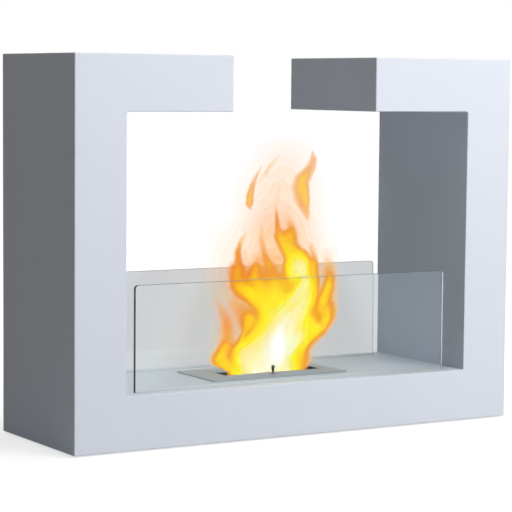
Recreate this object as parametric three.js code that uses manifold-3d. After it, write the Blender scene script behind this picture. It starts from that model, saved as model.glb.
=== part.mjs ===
// Free-standing bioethanol fireplace.
// A sheet-steel frame that is open at the top between two arms, a hearth with a lift-out stainless burner,
// and two clear glass panes that stand in slots in the hearth.
// Units are millimetres. X is the width, Y the depth with the front face at -Y, and Z is up.
// The origin is the middle of the footprint, on the surface that the feet stand on.
import * as THREE from "three";
import { mergeVertices } from "three/addons/utils/BufferGeometryUtils.js";
import Module from "manifold-3d";

// ---------- Driving dimensions ----------

// Frame
const WIDTH = 670;
const DEPTH = 214;
const HEIGHT = 500;
const PILLAR_WIDTH = 72;
const ARM_HEIGHT = 72;
const HEARTH_HEIGHT = 72; // top of the hearth above the ground
const ARM_GAP = 220; // between the free ends of the arms
const SHEET = 1.5; // wall of every sheet of the frame
const BEND_RADIUS = 3.5; // visible inside radius where a pillar turns into its arm

// Feet and base fixings
const FOOT_HEIGHT = 2;
const FOOT_RADIUS = 12;
const FOOT_INSET = 45; // from the outer faces to a foot's middle
const BRACKET_LEG = 22;
const BRACKET_SHEET = 1.5;
const BRACKET_LENGTH = 30;
const BRACKET_INSET = 33; // from the inner face of a pillar to a bracket's middle
const SCREW_RADIUS = 2;
const SCREW_HEAD_RADIUS = 3.8;
const SCREW_HEAD_HEIGHT = 1.3;
const SCREW_TIP = 4; // how far a screw stands out above its bracket
const SCREW_CLEARANCE = 0.2;

// Glass panes, their channels and liners
const GLASS_THICKNESS = 5;
const GLASS_ABOVE_HEARTH = 137;
const GLASS_CORNER_RADIUS = 5;
const GLASS_END_GAP = 23; // from a pane's end to the pillar beside it
const GLASS_INSET = 22; // from the outer face of the frame to the pane's middle
const GLASS_CLEARANCE = 0.3; // between a pane and its liner
const SLOT_CLEARANCE = 0.5; // between a pane and the edges of its slot
const CHANNEL_DEPTH = 14;
const CHANNEL_SHEET = 1;
const LINER_THICKNESS = 1;

// Burner
const OPENING_LENGTH = 150;
const OPENING_DEPTH = 31;
const OPENING_OFFSET = 9; // how far the opening's middle lies to the right of the plate's
const OPENING_END_MARGIN = 14; // from the opening's right end to the outside of the reservoir
const TOP_PLATE_THICKNESS = 2;
const TOP_PLATE_RIM = 6; // how far the top plate stands out past the reservoir
const RESERVOIR_HEIGHT = 48;
const RESERVOIR_WALL = 1.2;
const CUTOUT_CLEARANCE = 1.5; // between the reservoir and the hearth's cut-out
const WELL_CLEARANCE = 3; // between the reservoir and the well's walls
const WELL_FLOOR_CLEARANCE = 5;
const WELL_SHEET = 1;

// Flame regulator
const SHUTTER_SHEET = 1.2;
const SHUTTER_LAP = 0.5; // past the opening's long edges when closed
const SHUTTER_END_LAP = 3.5; // past the opening's short edges
const SHUTTER_CLEARANCE = 0.3; // above, below and beside the sliding plate
const SHUTTER_STOP_GAP = 1.4; // from the open shutter to the reservoir's front wall
const RAIL_SHEET = 1;
const RAIL_FLANGE = 3;
const PIN_HEIGHT = 9; // above the top plate
const PIN_NECK_RADIUS = 1.5;
const PIN_HEAD_RADIUS = 2.4;
const PIN_HEAD_HEIGHT = 3;
const PIN_EDGE_CLEARANCE = 0.3; // between the pin's neck and the opening's edges
const SPIGOT_RADIUS = 1.1;
const SPIGOT_CLEARANCE = 0.1;
const RIVET_RADIUS = 2;
const RIVET_HEIGHT = 0.8;

// Ceramic wool and its screen
const WOOL_HEIGHT = 28;
const WOOL_CLEARANCE = 0.3;
const SCREEN_THICKNESS = 1;
const SCREEN_HOLE = 8;
const SCREEN_PITCH = 13;
const SCREEN_BORDER = 5;

const ARC_SEGMENTS = 6;
const ROUND_SEGMENTS = 24;
const SMALL_ROUND_SEGMENTS = 16;

// ---------- Places worked out from them ----------

const halfWidth = WIDTH / 2;
const halfDepth = DEPTH / 2;
const halfGap = ARM_GAP / 2;
const wallX = halfWidth - PILLAR_WIDTH; // inner face of a pillar
const wrapY = halfDepth - SHEET; // inside of the front and back panels
const bodyBottom = FOOT_HEIGHT;
const baseTop = bodyBottom + SHEET;
const armUnderside = HEIGHT - ARM_HEIGHT;
const hearthUnderside = HEARTH_HEIGHT - SHEET;

const footX = halfWidth - FOOT_INSET;
const footY = halfDepth - FOOT_INSET;
const bracketX = wallX - BRACKET_INSET;
const screwY = wrapY - BRACKET_SHEET - (BRACKET_LEG - BRACKET_SHEET) / 2;
const screwHoleRadius = SCREW_RADIUS + SCREW_CLEARANCE;

const glassHalfLength = wallX - GLASS_END_GAP;
const glassY = halfDepth - GLASS_INSET;
const glassTop = HEARTH_HEIGHT + GLASS_ABOVE_HEARTH;
const slotHalfLength = glassHalfLength + SLOT_CLEARANCE;
const slotHalfWidth = GLASS_THICKNESS / 2 + SLOT_CLEARANCE;
const linerInside = GLASS_THICKNESS / 2 + GLASS_CLEARANCE;
const channelInside = linerInside + LINER_THICKNESS;
const channelBottom = hearthUnderside - CHANNEL_DEPTH;
const channelFloor = channelBottom + CHANNEL_SHEET;
const glassFoot = channelFloor + LINER_THICKNESS;

const shutterTravel = OPENING_DEPTH - 2 * (PIN_NECK_RADIUS + PIN_EDGE_CLEARANCE);
const openingHalfDepth = OPENING_DEPTH / 2;
const openingHalfLength = OPENING_LENGTH / 2;
const shutterFront = -openingHalfDepth - SHUTTER_LAP - shutterTravel;
const shutterBack = openingHalfDepth + SHUTTER_LAP - shutterTravel;
const shutterHalfLength = openingHalfLength + SHUTTER_END_LAP;
const pinY = -openingHalfDepth + PIN_NECK_RADIUS + PIN_EDGE_CLEARANCE;
const reservoirInsideY = SHUTTER_STOP_GAP - shutterFront;
const reservoirY = reservoirInsideY + RESERVOIR_WALL;
const reservoirX = OPENING_OFFSET + openingHalfLength + OPENING_END_MARGIN;
const reservoirInsideX = reservoirX - RESERVOIR_WALL;
const reservoirBottom = HEARTH_HEIGHT - RESERVOIR_HEIGHT;
const reservoirFloor = reservoirBottom + RESERVOIR_WALL;
const topPlateX = reservoirX + TOP_PLATE_RIM;
const topPlateY = reservoirY + TOP_PLATE_RIM;
const topPlateTop = HEARTH_HEIGHT + TOP_PLATE_THICKNESS;
const cutoutX = reservoirX + CUTOUT_CLEARANCE;
const cutoutY = reservoirY + CUTOUT_CLEARANCE;
const wellInsideX = reservoirX + WELL_CLEARANCE;
const wellInsideY = reservoirY + WELL_CLEARANCE;
const wellFloor = reservoirBottom - WELL_FLOOR_CLEARANCE;

const shutterTop = HEARTH_HEIGHT - SHUTTER_CLEARANCE;
const shutterBottom = shutterTop - SHUTTER_SHEET;
const railInside = shutterHalfLength + SHUTTER_CLEARANCE;
const railFlangeTop = shutterBottom - SHUTTER_CLEARANCE;
const railHalfLength = reservoirInsideY - SHUTTER_CLEARANCE;

const woolBottom = reservoirFloor + WOOL_CLEARANCE;
const woolTop = woolBottom + WOOL_HEIGHT;
const screenBottom = woolTop + WOOL_CLEARANCE;
const woolX = reservoirInsideX - WOOL_CLEARANCE;
const woolY = reservoirInsideY - WOOL_CLEARANCE;

// ---------- Materials ----------

const coat = (color) => new THREE.MeshStandardMaterial({ color, roughness: 0.55, metalness: 0 });
const steel = (color, roughness) => new THREE.MeshStandardMaterial({ color, roughness, metalness: 1 });

const MATERIALS = {
  front_coat: () => coat(0xd7dbe4),
  side_coat: () => coat(0xb4b7bd),
  hearth_coat: () => coat(0xc3cbd2),
  stainless: () => steel(0xa2a9a6, 0.3),
  zinc_steel: () => steel(0x9c9fa3, 0.5),
  glass: () =>
    new THREE.MeshStandardMaterial({ color: 0xdfe8e6, roughness: 0.05, transparent: true, opacity: 0.3 }),
  rubber: () => new THREE.MeshStandardMaterial({ color: 0x1c1c1e, roughness: 0.9 }),
  ceramic_wool: () => new THREE.MeshStandardMaterial({ color: 0xe8e4da, roughness: 1 }),
};

// ---------- Solids ----------

const wasm = await Module();
wasm.setup();

const X = new THREE.Vector3(1, 0, 0);
const Y = new THREE.Vector3(0, 1, 0);
const Z = new THREE.Vector3(0, 0, 1);
const LATHE_AXIS_UP = new THREE.Matrix4().makeBasis(X, Z, Y.clone().negate());

// A box between two places on each axis.
function block([x0, x1], [y0, y1], [z0, z1]) {
  const geometry = new THREE.BoxGeometry(1, 1, 1);
  geometry.scale(x1 - x0, y1 - y0, z1 - z0);
  geometry.translate((x0 + x1) / 2, (y0 + y1) / 2, (z0 + z1) / 2);
  return geometry;
}

// A flat shape carried from one place to another along the axis that its two own axes face.
function prism(shape, across, up, along, [start, end]) {
  const geometry = new THREE.ExtrudeGeometry(shape, {
    depth: 1,
    bevelEnabled: false,
    curveSegments: ARC_SEGMENTS,
  });
  const length = along.clone().multiplyScalar(end - start);
  geometry.applyMatrix4(new THREE.Matrix4().makeBasis(across, up, length));
  geometry.translate(along.x * start, along.y * start, along.z * start);
  return geometry;
}

// A shape drawn in X and Z, as a sheet between two places on Y. Its own depth runs towards -Y.
function uprightSheet(shape, [front, back]) {
  return prism(shape, X, Z, Y.clone().negate(), [-back, -front]);
}

// A shape drawn in X and Y, as a plate between two heights.
function levelPlate(shape, heights) {
  return prism(shape, X, Y, Z, heights);
}

// A section drawn in Y and Z, as a bar between two places on X.
function bar(section, ends) {
  return prism(section, Y, Z, X, ends);
}

// A profile of [radius, height] points turned about the Z axis.
function turned(profile, segments) {
  const points = profile.map(([radius, height]) => new THREE.Vector2(radius, height));
  return new THREE.LatheGeometry(points, segments).applyMatrix4(LATHE_AXIS_UP);
}

function polygon(points) {
  return new THREE.Shape(points.map(([x, y]) => new THREE.Vector2(x, y)));
}

function rectangle(halfX, halfY, x = 0, y = 0) {
  return polygon([
    [x - halfX, y - halfY],
    [x + halfX, y - halfY],
    [x + halfX, y + halfY],
    [x - halfX, y + halfY],
  ]);
}

function circle(radius, x, y) {
  const path = new THREE.Path();
  path.absarc(x, y, radius, 0, 2 * Math.PI, true);
  return path;
}

function withHoles(shape, holes) {
  shape.holes.push(...holes);
  return shape;
}

function solidOf(geometry) {
  const bare = geometry.clone();
  bare.deleteAttribute("normal");
  bare.deleteAttribute("uv");
  const merged = mergeVertices(bare);
  const vertProperties = new Float32Array(merged.attributes.position.array);
  const triVerts = new Uint32Array(merged.index.array);
  return new wasm.Manifold(new wasm.Mesh({ numProp: 3, vertProperties, triVerts }));
}

function geometryOf(solid) {
  const { vertProperties, triVerts } = solid.getMesh();
  const geometry = new THREE.BufferGeometry();
  geometry.setAttribute("position", new THREE.BufferAttribute(vertProperties, 3));
  geometry.setIndex(new THREE.BufferAttribute(triVerts, 1));
  geometry.computeVertexNormals();
  return geometry;
}

function cutAway(geometry, ...tools) {
  const left = tools.reduce((solid, tool) => solid.subtract(solidOf(tool)), solidOf(geometry));
  return geometryOf(left);
}

const fireplace = new THREE.Group();

function add(name, geometry, material) {
  const mesh = new THREE.Mesh(geometry, MATERIALS[material]());
  mesh.name = name;
  fireplace.add(mesh);
  return mesh;
}

// Both ends of a range, on the side that sign names: +1 is right or back, -1 is left or front.
const mirrored = (sign, low, high) => (sign > 0 ? [low, high] : [-high, -low]);

const LEFT_AND_RIGHT = [["left", -1], ["right", 1]];
const FRONT_AND_REAR = [["front", -1], ["rear", 1]];

// ---------- Frame ----------

// The outline of the frame from the front: two pillars on a hearth bar, with an arm at the top of each.
function frameOutline() {
  const shape = new THREE.Shape();
  shape.moveTo(-halfWidth, bodyBottom);
  shape.lineTo(halfWidth, bodyBottom);
  shape.lineTo(halfWidth, HEIGHT);
  shape.lineTo(halfGap, HEIGHT);
  shape.lineTo(halfGap, armUnderside);
  shape.lineTo(wallX - BEND_RADIUS, armUnderside);
  shape.absarc(wallX - BEND_RADIUS, armUnderside - BEND_RADIUS, BEND_RADIUS, Math.PI / 2, 0, true);
  shape.lineTo(wallX, HEARTH_HEIGHT);
  shape.lineTo(-wallX, HEARTH_HEIGHT);
  shape.lineTo(-wallX, armUnderside - BEND_RADIUS);
  shape.absarc(BEND_RADIUS - wallX, armUnderside - BEND_RADIUS, BEND_RADIUS, Math.PI, Math.PI / 2, true);
  shape.lineTo(-halfGap, armUnderside);
  shape.lineTo(-halfGap, HEIGHT);
  shape.lineTo(-halfWidth, HEIGHT);
  return shape;
}

// The folded sheet of one side: inner face of the pillar, bend, underside of the arm.
function innerPanelSection(sign) {
  const bendX = sign * (wallX - BEND_RADIUS);
  const bendZ = armUnderside - BEND_RADIUS;
  const capInside = halfGap + SHEET;
  const outer = BEND_RADIUS + SHEET;
  const clockwise = sign > 0;
  const wallAngle = clockwise ? 0 : Math.PI;
  const shape = new THREE.Shape();
  shape.moveTo(sign * wallX, baseTop);
  shape.lineTo(sign * (wallX + SHEET), baseTop);
  shape.lineTo(sign * (wallX + SHEET), bendZ);
  shape.absarc(bendX, bendZ, outer, wallAngle, Math.PI / 2, !clockwise);
  shape.lineTo(sign * capInside, armUnderside + SHEET);
  shape.lineTo(sign * capInside, armUnderside);
  shape.lineTo(bendX, armUnderside);
  shape.absarc(bendX, bendZ, BEND_RADIUS, Math.PI / 2, wallAngle, clockwise);
  shape.lineTo(sign * wallX, baseTop);
  return shape;
}

function buildFrame() {
  const wrap = [-wrapY, wrapY];
  add("front_panel", uprightSheet(frameOutline(), [-halfDepth, -wrapY]), "front_coat");
  add("back_panel", uprightSheet(frameOutline(), [wrapY, halfDepth]), "front_coat");
  for (const [side, sign] of LEFT_AND_RIGHT) {
    const sideX = mirrored(sign, halfWidth - SHEET, halfWidth);
    const topX = mirrored(sign, halfGap, halfWidth - SHEET);
    const capX = mirrored(sign, halfGap, halfGap + SHEET);
    add(`${side}_side_panel`, block(sideX, wrap, [bodyBottom, HEIGHT]), "side_coat");
    add(`${side}_top_cover`, block(topX, wrap, [HEIGHT - SHEET, HEIGHT]), "side_coat");
    add(`${side}_end_cap`, block(capX, wrap, [armUnderside, HEIGHT - SHEET]), "side_coat");
    add(`${side}_inner_panel`, uprightSheet(innerPanelSection(sign), wrap), "front_coat");
  }
}

// ---------- Hearth and base ----------

function buildHearth() {
  const slots = FRONT_AND_REAR.map(([, sign]) =>
    rectangle(slotHalfLength, slotHalfWidth, 0, sign * glassY),
  );
  const plate = withHoles(rectangle(wallX, wrapY), [rectangle(cutoutX, cutoutY), ...slots]);
  add("hearth_plate", levelPlate(plate, [hearthUnderside, HEARTH_HEIGHT]), "hearth_coat");
  const well = block(
    [-wellInsideX - WELL_SHEET, wellInsideX + WELL_SHEET],
    [-wellInsideY - WELL_SHEET, wellInsideY + WELL_SHEET],
    [wellFloor - WELL_SHEET, hearthUnderside],
  );
  const wellInside = block(
    [-wellInsideX, wellInsideX],
    [-wellInsideY, wellInsideY],
    [wellFloor, hearthUnderside + WELL_SHEET],
  );
  add("burner_well", cutAway(well, wellInside), "zinc_steel");
}

function buildBase() {
  const screwPlaces = [];
  for (const [, signX] of LEFT_AND_RIGHT) {
    for (const [, signY] of FRONT_AND_REAR) screwPlaces.push([signX * bracketX, signY * screwY]);
  }
  const holes = screwPlaces.map(([x, y]) => circle(screwHoleRadius, x, y));
  const plate = withHoles(rectangle(halfWidth - SHEET, wrapY), holes);
  add("base_plate", levelPlate(plate, [bodyBottom, baseTop]), "side_coat");
  for (const [end, signY] of FRONT_AND_REAR) {
    for (const [side, signX] of LEFT_AND_RIGHT) {
      const place = `${end}_${side}`;
      add(`base_bracket_${place}`, baseBracket(signX, signY), "zinc_steel");
      const screw = turned(screwProfile(), SMALL_ROUND_SEGMENTS);
      add(`base_screw_${place}`, screw, "zinc_steel").position.set(signX * bracketX, signY * screwY, 0);
      const foot = turned([[0, 0], [FOOT_RADIUS, 0], [FOOT_RADIUS, FOOT_HEIGHT], [0, FOOT_HEIGHT]], ROUND_SEGMENTS);
      add(`foot_${place}`, foot, "rubber").position.set(signX * footX, signY * footY, 0);
    }
  }
}

// An angle whose upright leg stands against the front or back panel and whose other leg lies on the base.
function baseBracket(signX, signY) {
  const legTop = baseTop + BRACKET_SHEET;
  const section = polygon([
    [signY * wrapY, baseTop],
    [signY * (wrapY - BRACKET_LEG), baseTop],
    [signY * (wrapY - BRACKET_LEG), legTop],
    [signY * (wrapY - BRACKET_SHEET), legTop],
    [signY * (wrapY - BRACKET_SHEET), baseTop + BRACKET_LEG],
    [signY * wrapY, baseTop + BRACKET_LEG],
  ]);
  const middle = signX * bracketX;
  const angle = bar(section, [middle - BRACKET_LENGTH / 2, middle + BRACKET_LENGTH / 2]);
  const drill = new THREE.CylinderGeometry(screwHoleRadius, screwHoleRadius, 4 * SHEET, SMALL_ROUND_SEGMENTS);
  drill.applyMatrix4(LATHE_AXIS_UP);
  drill.translate(middle, signY * screwY, baseTop);
  return cutAway(angle, drill);
}

// A pan-head screw, head down against the underside of the base plate.
function screwProfile() {
  const headBottom = bodyBottom - SCREW_HEAD_HEIGHT;
  return [
    [0, headBottom],
    [SCREW_HEAD_RADIUS * 0.7, headBottom],
    [SCREW_HEAD_RADIUS, bodyBottom - SCREW_HEAD_HEIGHT / 2],
    [SCREW_HEAD_RADIUS, bodyBottom],
    [SCREW_RADIUS, bodyBottom],
    [SCREW_RADIUS, baseTop + BRACKET_SHEET + SCREW_TIP - SCREW_RADIUS],
    [0, baseTop + BRACKET_SHEET + SCREW_TIP],
  ];
}

// ---------- Glass ----------

function paneOutline() {
  const corner = glassHalfLength - GLASS_CORNER_RADIUS;
  const cornerZ = glassTop - GLASS_CORNER_RADIUS;
  const shape = new THREE.Shape();
  shape.moveTo(-glassHalfLength, glassFoot);
  shape.lineTo(glassHalfLength, glassFoot);
  shape.lineTo(glassHalfLength, cornerZ);
  shape.absarc(corner, cornerZ, GLASS_CORNER_RADIUS, 0, Math.PI / 2, false);
  shape.lineTo(-corner, glassTop);
  shape.absarc(-corner, cornerZ, GLASS_CORNER_RADIUS, Math.PI / 2, Math.PI, false);
  return shape;
}

// A U-section that is open at the top, drawn in Y and Z.
function trough(middle, inside, wall, bottom, top) {
  return polygon([
    [middle - inside - wall, bottom],
    [middle + inside + wall, bottom],
    [middle + inside + wall, top],
    [middle + inside, top],
    [middle + inside, bottom + wall],
    [middle - inside, bottom + wall],
    [middle - inside, top],
    [middle - inside - wall, top],
  ]);
}

function buildGlass() {
  const ends = [-slotHalfLength, slotHalfLength];
  for (const [end, sign] of FRONT_AND_REAR) {
    const middle = sign * glassY;
    const channel = trough(middle, channelInside, CHANNEL_SHEET, channelBottom, hearthUnderside);
    const liner = trough(middle, linerInside, LINER_THICKNESS, channelFloor, hearthUnderside);
    const faces = [middle - GLASS_THICKNESS / 2, middle + GLASS_THICKNESS / 2];
    add(`${end}_glass`, uprightSheet(paneOutline(), faces), "glass");
    add(`${end}_glass_channel`, bar(channel, ends), "zinc_steel");
    add(`${end}_glass_liner`, bar(liner, ends), "rubber");
  }
}

// ---------- Burner ----------

function buildBurner() {
  const opening = rectangle(openingHalfLength, openingHalfDepth, OPENING_OFFSET);
  const plate = withHoles(rectangle(topPlateX, topPlateY), [opening]);
  add("burner_top_plate", levelPlate(plate, [HEARTH_HEIGHT, topPlateTop]), "stainless");
  const box = block([-reservoirX, reservoirX], [-reservoirY, reservoirY], [reservoirBottom, HEARTH_HEIGHT]);
  const inside = block(
    [-reservoirInsideX, reservoirInsideX],
    [-reservoirInsideY, reservoirInsideY],
    [reservoirFloor, HEARTH_HEIGHT + RESERVOIR_WALL],
  );
  add("burner_reservoir", cutAway(box, inside), "stainless");
  add("wool_pad", block([-woolX, woolX], [-woolY, woolY], [woolBottom, woolTop]), "ceramic_wool");
  add("wool_screen", screen(), "stainless");
}

// A sheet with a square pattern of square holes that is centred in it.
function screen() {
  const top = screenBottom + SCREEN_THICKNESS;
  const sheet = block([-woolX, woolX], [-woolY, woolY], [screenBottom, top]);
  const holeSpan = (middle) => [middle - SCREEN_HOLE / 2, middle + SCREEN_HOLE / 2];
  const throughSheet = [screenBottom - SCREEN_THICKNESS, top + SCREEN_THICKNESS];
  const holes = [];
  for (const x of holePlaces(woolX)) {
    for (const y of holePlaces(woolY)) holes.push(block(holeSpan(x), holeSpan(y), throughSheet));
  }
  return cutAway(sheet, ...holes);
}

// The middles of as many holes as fit between the borders of a sheet of this half width.
function holePlaces(halfSize) {
  const room = 2 * (halfSize - SCREEN_BORDER) - SCREEN_HOLE;
  const count = Math.floor(room / SCREEN_PITCH) + 1;
  return Array.from({ length: count }, (_, i) => (i - (count - 1) / 2) * SCREEN_PITCH);
}

// ---------- Flame regulator ----------

function buildRegulator() {
  const middle = (shutterFront + shutterBack) / 2;
  const halfSize = (shutterBack - shutterFront) / 2;
  const hole = circle(SPIGOT_RADIUS + SPIGOT_CLEARANCE, OPENING_OFFSET, pinY);
  const plate = withHoles(rectangle(shutterHalfLength, halfSize, OPENING_OFFSET, middle), [hole]);
  add("shutter_plate", levelPlate(plate, [shutterBottom, shutterTop]), "stainless");
  const pin = turned(pinProfile(), SMALL_ROUND_SEGMENTS);
  add("shutter_pin", pin, "stainless").position.set(OPENING_OFFSET, pinY, 0);
  for (const [side, sign] of LEFT_AND_RIGHT) {
    const at = (fromMiddle, z) => [OPENING_OFFSET + sign * fromMiddle, z];
    const section = polygon([
      at(railInside - RAIL_FLANGE, railFlangeTop - RAIL_SHEET),
      at(railInside + RAIL_SHEET, railFlangeTop - RAIL_SHEET),
      at(railInside + RAIL_SHEET, HEARTH_HEIGHT),
      at(railInside, HEARTH_HEIGHT),
      at(railInside, railFlangeTop),
      at(railInside - RAIL_FLANGE, railFlangeTop),
    ]);
    const rail = uprightSheet(section, [-railHalfLength, railHalfLength]);
    add(`${side}_shutter_rail`, rail, "stainless");
  }
}

// A tapered pin, riveted through the shutter plate.
function pinProfile() {
  const top = topPlateTop + PIN_HEIGHT;
  return [
    [0, shutterBottom - RIVET_HEIGHT],
    [RIVET_RADIUS, shutterBottom - RIVET_HEIGHT],
    [RIVET_RADIUS, shutterBottom],
    [SPIGOT_RADIUS, shutterBottom],
    [SPIGOT_RADIUS, shutterTop],
    [PIN_NECK_RADIUS, shutterTop],
    [PIN_NECK_RADIUS, topPlateTop],
    [PIN_HEAD_RADIUS, top - PIN_HEAD_HEIGHT],
    [PIN_HEAD_RADIUS, top - PIN_HEAD_HEIGHT / 6],
    [PIN_HEAD_RADIUS * 0.8, top],
    [0, top],
  ];
}

buildFrame();
buildHearth();
buildBase();
buildGlass();
buildBurner();
buildRegulator();

export default fireplace;
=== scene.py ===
"""Looks of a free-standing bioethanol fireplace, laid out as a Blender add-on and run as a script.

Lengths are metres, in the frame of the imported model: +X to the right, +Y to the back, +Z up.
"""

import math

import bmesh
import bpy
import numpy as np
from bpy.props import FloatProperty, FloatVectorProperty, IntProperty, PointerProperty
from mathutils import Matrix, Vector


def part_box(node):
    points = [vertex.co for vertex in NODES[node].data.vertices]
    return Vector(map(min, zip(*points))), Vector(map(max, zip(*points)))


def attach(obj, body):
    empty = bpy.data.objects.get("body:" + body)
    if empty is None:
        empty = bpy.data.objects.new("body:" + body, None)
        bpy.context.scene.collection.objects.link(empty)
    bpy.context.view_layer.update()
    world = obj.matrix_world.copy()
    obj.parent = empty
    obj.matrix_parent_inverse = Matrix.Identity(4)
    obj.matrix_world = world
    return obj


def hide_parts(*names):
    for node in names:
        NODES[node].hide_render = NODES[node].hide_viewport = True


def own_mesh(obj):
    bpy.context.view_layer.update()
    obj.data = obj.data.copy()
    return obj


bl_info = {
    "name": "Bioethanol fireplace",
    "version": (1, 0, 0),
    "blender": (4, 5, 0),
    "location": "View3D > Sidebar > Fireplace",
    "description": "Coats, glass, burner, flame and studio of a free-standing bioethanol fireplace",
    "category": "Object",
}

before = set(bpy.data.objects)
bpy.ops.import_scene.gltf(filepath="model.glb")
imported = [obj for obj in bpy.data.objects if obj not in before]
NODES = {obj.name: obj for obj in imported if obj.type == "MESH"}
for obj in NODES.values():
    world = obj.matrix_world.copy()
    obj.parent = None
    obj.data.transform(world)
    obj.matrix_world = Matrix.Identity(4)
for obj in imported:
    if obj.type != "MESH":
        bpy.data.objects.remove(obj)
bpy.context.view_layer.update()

SIDES = ("left", "right")
ENDS = ("front", "rear")
WHITE = (1.0, 1.0, 1.0, 1.0)
BLACK = (0.0, 0.0, 0.0, 1.0)


# ---------- Settings ----------


def number(name, description, default, **limits):
    """A property for a number."""
    return FloatProperty(name=name, description=description, default=default, **limits)


def length(name, description, default, low=0.0):
    """A property for a length in metres."""
    return number(name, description, default, min=low, precision=5, subtype="DISTANCE", unit="LENGTH")


def angle(name, description, degrees):
    """A property for an angle, given in degrees."""
    return number(name, description, math.radians(degrees), subtype="ANGLE", unit="ROTATION")


def share(name, description, default, top=1.0):
    """A property for a plain number from 0 to top."""
    return number(name, description, default, min=0.0, max=top, subtype="FACTOR")


def colour(name, description, *picture_bytes):
    """A property for a colour, given as the three bytes that a picture shows and kept as linear light."""
    default = linear(*picture_bytes)
    return FloatVectorProperty(
        name=name, description=description, default=default, min=0.0, max=1.0, size=3, subtype="COLOR"
    )


def linear(*picture_bytes):
    """Linear light of the bytes that a picture shows: s/12.92 up to 0.04045, else ((s + 0.055)/1.055)^2.4."""
    s = np.array(picture_bytes, float) / 255.0
    light = np.where(s <= 0.04045, s / 12.92, ((s + 0.055) / 1.055) ** 2.4)
    return tuple(float(v) for v in light)


class FIREPLACE_PG_coat(bpy.types.PropertyGroup):
    """Powder coat and folded edges of the sheet-steel frame."""

    front: colour("Front and back", "Coat of the front, back and inner panels", 214, 218, 227)
    # Painted shade: the side coat is the front coat made a little darker, to stand for the shade on the
    # sides. The top, end and base panels share it.
    side: colour("Sides", "Coat of the side, top, end and base panels", 197, 200, 207)
    hearth: colour("Hearth", "Coat of the hearth plate", 209, 215, 221)
    roughness: share("Roughness", "Roughness of the satin coat", 0.42)
    peel: length("Orange peel", "Size of the ripples in the coat", 0.0011)
    edge: length("Edge radius", "Outside radius of the folded and ground edges", 0.0012)
    bend: length("Bend radius", "Inside radius where a pillar turns into its arm", 0.0035)


class FIREPLACE_PG_glass(bpy.types.PropertyGroup):
    """Colour and edges of the two panes."""

    tint: colour("Tint", "Colour of light that has passed through a pane", 254, 255, 253)
    edge_tint: colour("Edge tint", "Colour of light that has passed along a pane to its edge", 118, 134, 131)
    corner: length("Corner radius", "Radius of the upper corners", 0.005)
    arris: length("Arris", "Radius of the ground and polished edges", 0.0004)


class FIREPLACE_PG_burner(bpy.types.PropertyGroup):
    """Stainless burner, its regulator pin and wool, and the zinc of the hidden fittings."""

    steel: colour("Stainless steel", "Colour of the brushed stainless sheet", 196, 199, 197)
    pin: colour("Regulator pin", "Colour of the pin, darkened by the heat of the flame", 120, 114, 108)
    roughness: share("Roughness", "Roughness of the brushed sheet", 0.24)
    zinc: colour("Zinc", "Colour of the zinc-plated sheet and screws", 176, 179, 184)
    wool: colour("Wool", "Colour of the ceramic wool", 232, 228, 219)
    edge: length("Edge radius", "Radius of the top plate's edges", 0.0005)
    tuft: length("Tufts", "How far the wool's tufts stand out", 0.0009)


class FIREPLACE_PG_flame(bpy.types.PropertyGroup):
    """Fineness and colour of the flame."""

    step: length("Grid step", "Spacing of the grid that the shells are cut from", 0.0025)
    shells: IntProperty(
        name="Shells", description="Number of nested shells of the flame", default=34, min=4, max=60
    )
    flicker: share("Flicker", "How strong the streaks in the light are", 0.06)
    embers: share("Embers", "How much redder the flame is at its embers", 0.5)


class FIREPLACE_PG_stage(bpy.types.PropertyGroup):
    """Camera, lamps, and what glass and metal show."""

    azimuth: angle("Azimuth", "Camera's turn about the upright axis, 0 from the front", -31.188)
    elevation: angle("Elevation", "Camera's height above the horizon", 4.845)
    roll: angle("Roll", "Camera's turn about its own line of sight", 0.508)
    distance: length("Distance", "From the camera to the upright plane through the origin", 2.7922)
    aim_side: length("Aim sideways", "How far right of the origin the camera aims", -0.00656, low=-1.0)
    aim_up: length("Aim up", "How far above the origin the camera aims", 0.23005)
    lens: number(
        "Lens", "Focal length on a 36 mm sensor", 143.667, min=1.0, subtype="DISTANCE_CAMERA", unit="CAMERA"
    )
    lamps: share("Lamps", "Level of all the lamps", 1.0, top=4.0)
    backdrop: share("Backdrop", "Level that glass and metal show behind the fireplace", 0.67)
    forefront: share("Forefront", "Level that glass and metal show in front of the fireplace", 1.0)


# ---------- Meshes ----------


def new_piece(name, vertices, faces, materials, smooth=None, material_index=None):
    """An object at the origin with this mesh. smooth and material_index hold one value for each face."""
    mesh = bpy.data.meshes.new(name)
    mesh.from_pydata(np.asarray(vertices, float).tolist(), [], [list(face) for face in faces])
    for material in materials:
        mesh.materials.append(material)
    if smooth is not None:
        mesh.polygons.foreach_set("use_smooth", np.asarray(smooth, bool))
    if material_index is not None:
        mesh.polygons.foreach_set("material_index", np.asarray(material_index, np.int32))
    mesh.validate()
    mesh.update()
    piece = bpy.data.objects.new(name, mesh)
    bpy.context.scene.collection.objects.link(piece)
    return piece


def ring_faces(rings, points, closed_path=False):
    """Quads between neighbouring closed rings of equally many points, the first ring's outside facing out."""
    ring = np.arange(rings if closed_path else rings - 1)[:, None]
    point = np.arange(points)[None, :]
    near, far = ring * points, (ring + 1) % rings * points
    following = (point + 1) % points
    quads = [near + point, near + following, far + following, far + point]
    return np.stack(quads, -1).reshape(-1, 4).tolist()


def tube_faces(rings):
    """Quads between these rings of points, followed by the tube's two flat ends."""
    points = len(rings[0])
    last = (len(rings) - 1) * points
    return ring_faces(len(rings), points) + [list(range(points)), list(range(last, last + points))]


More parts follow.
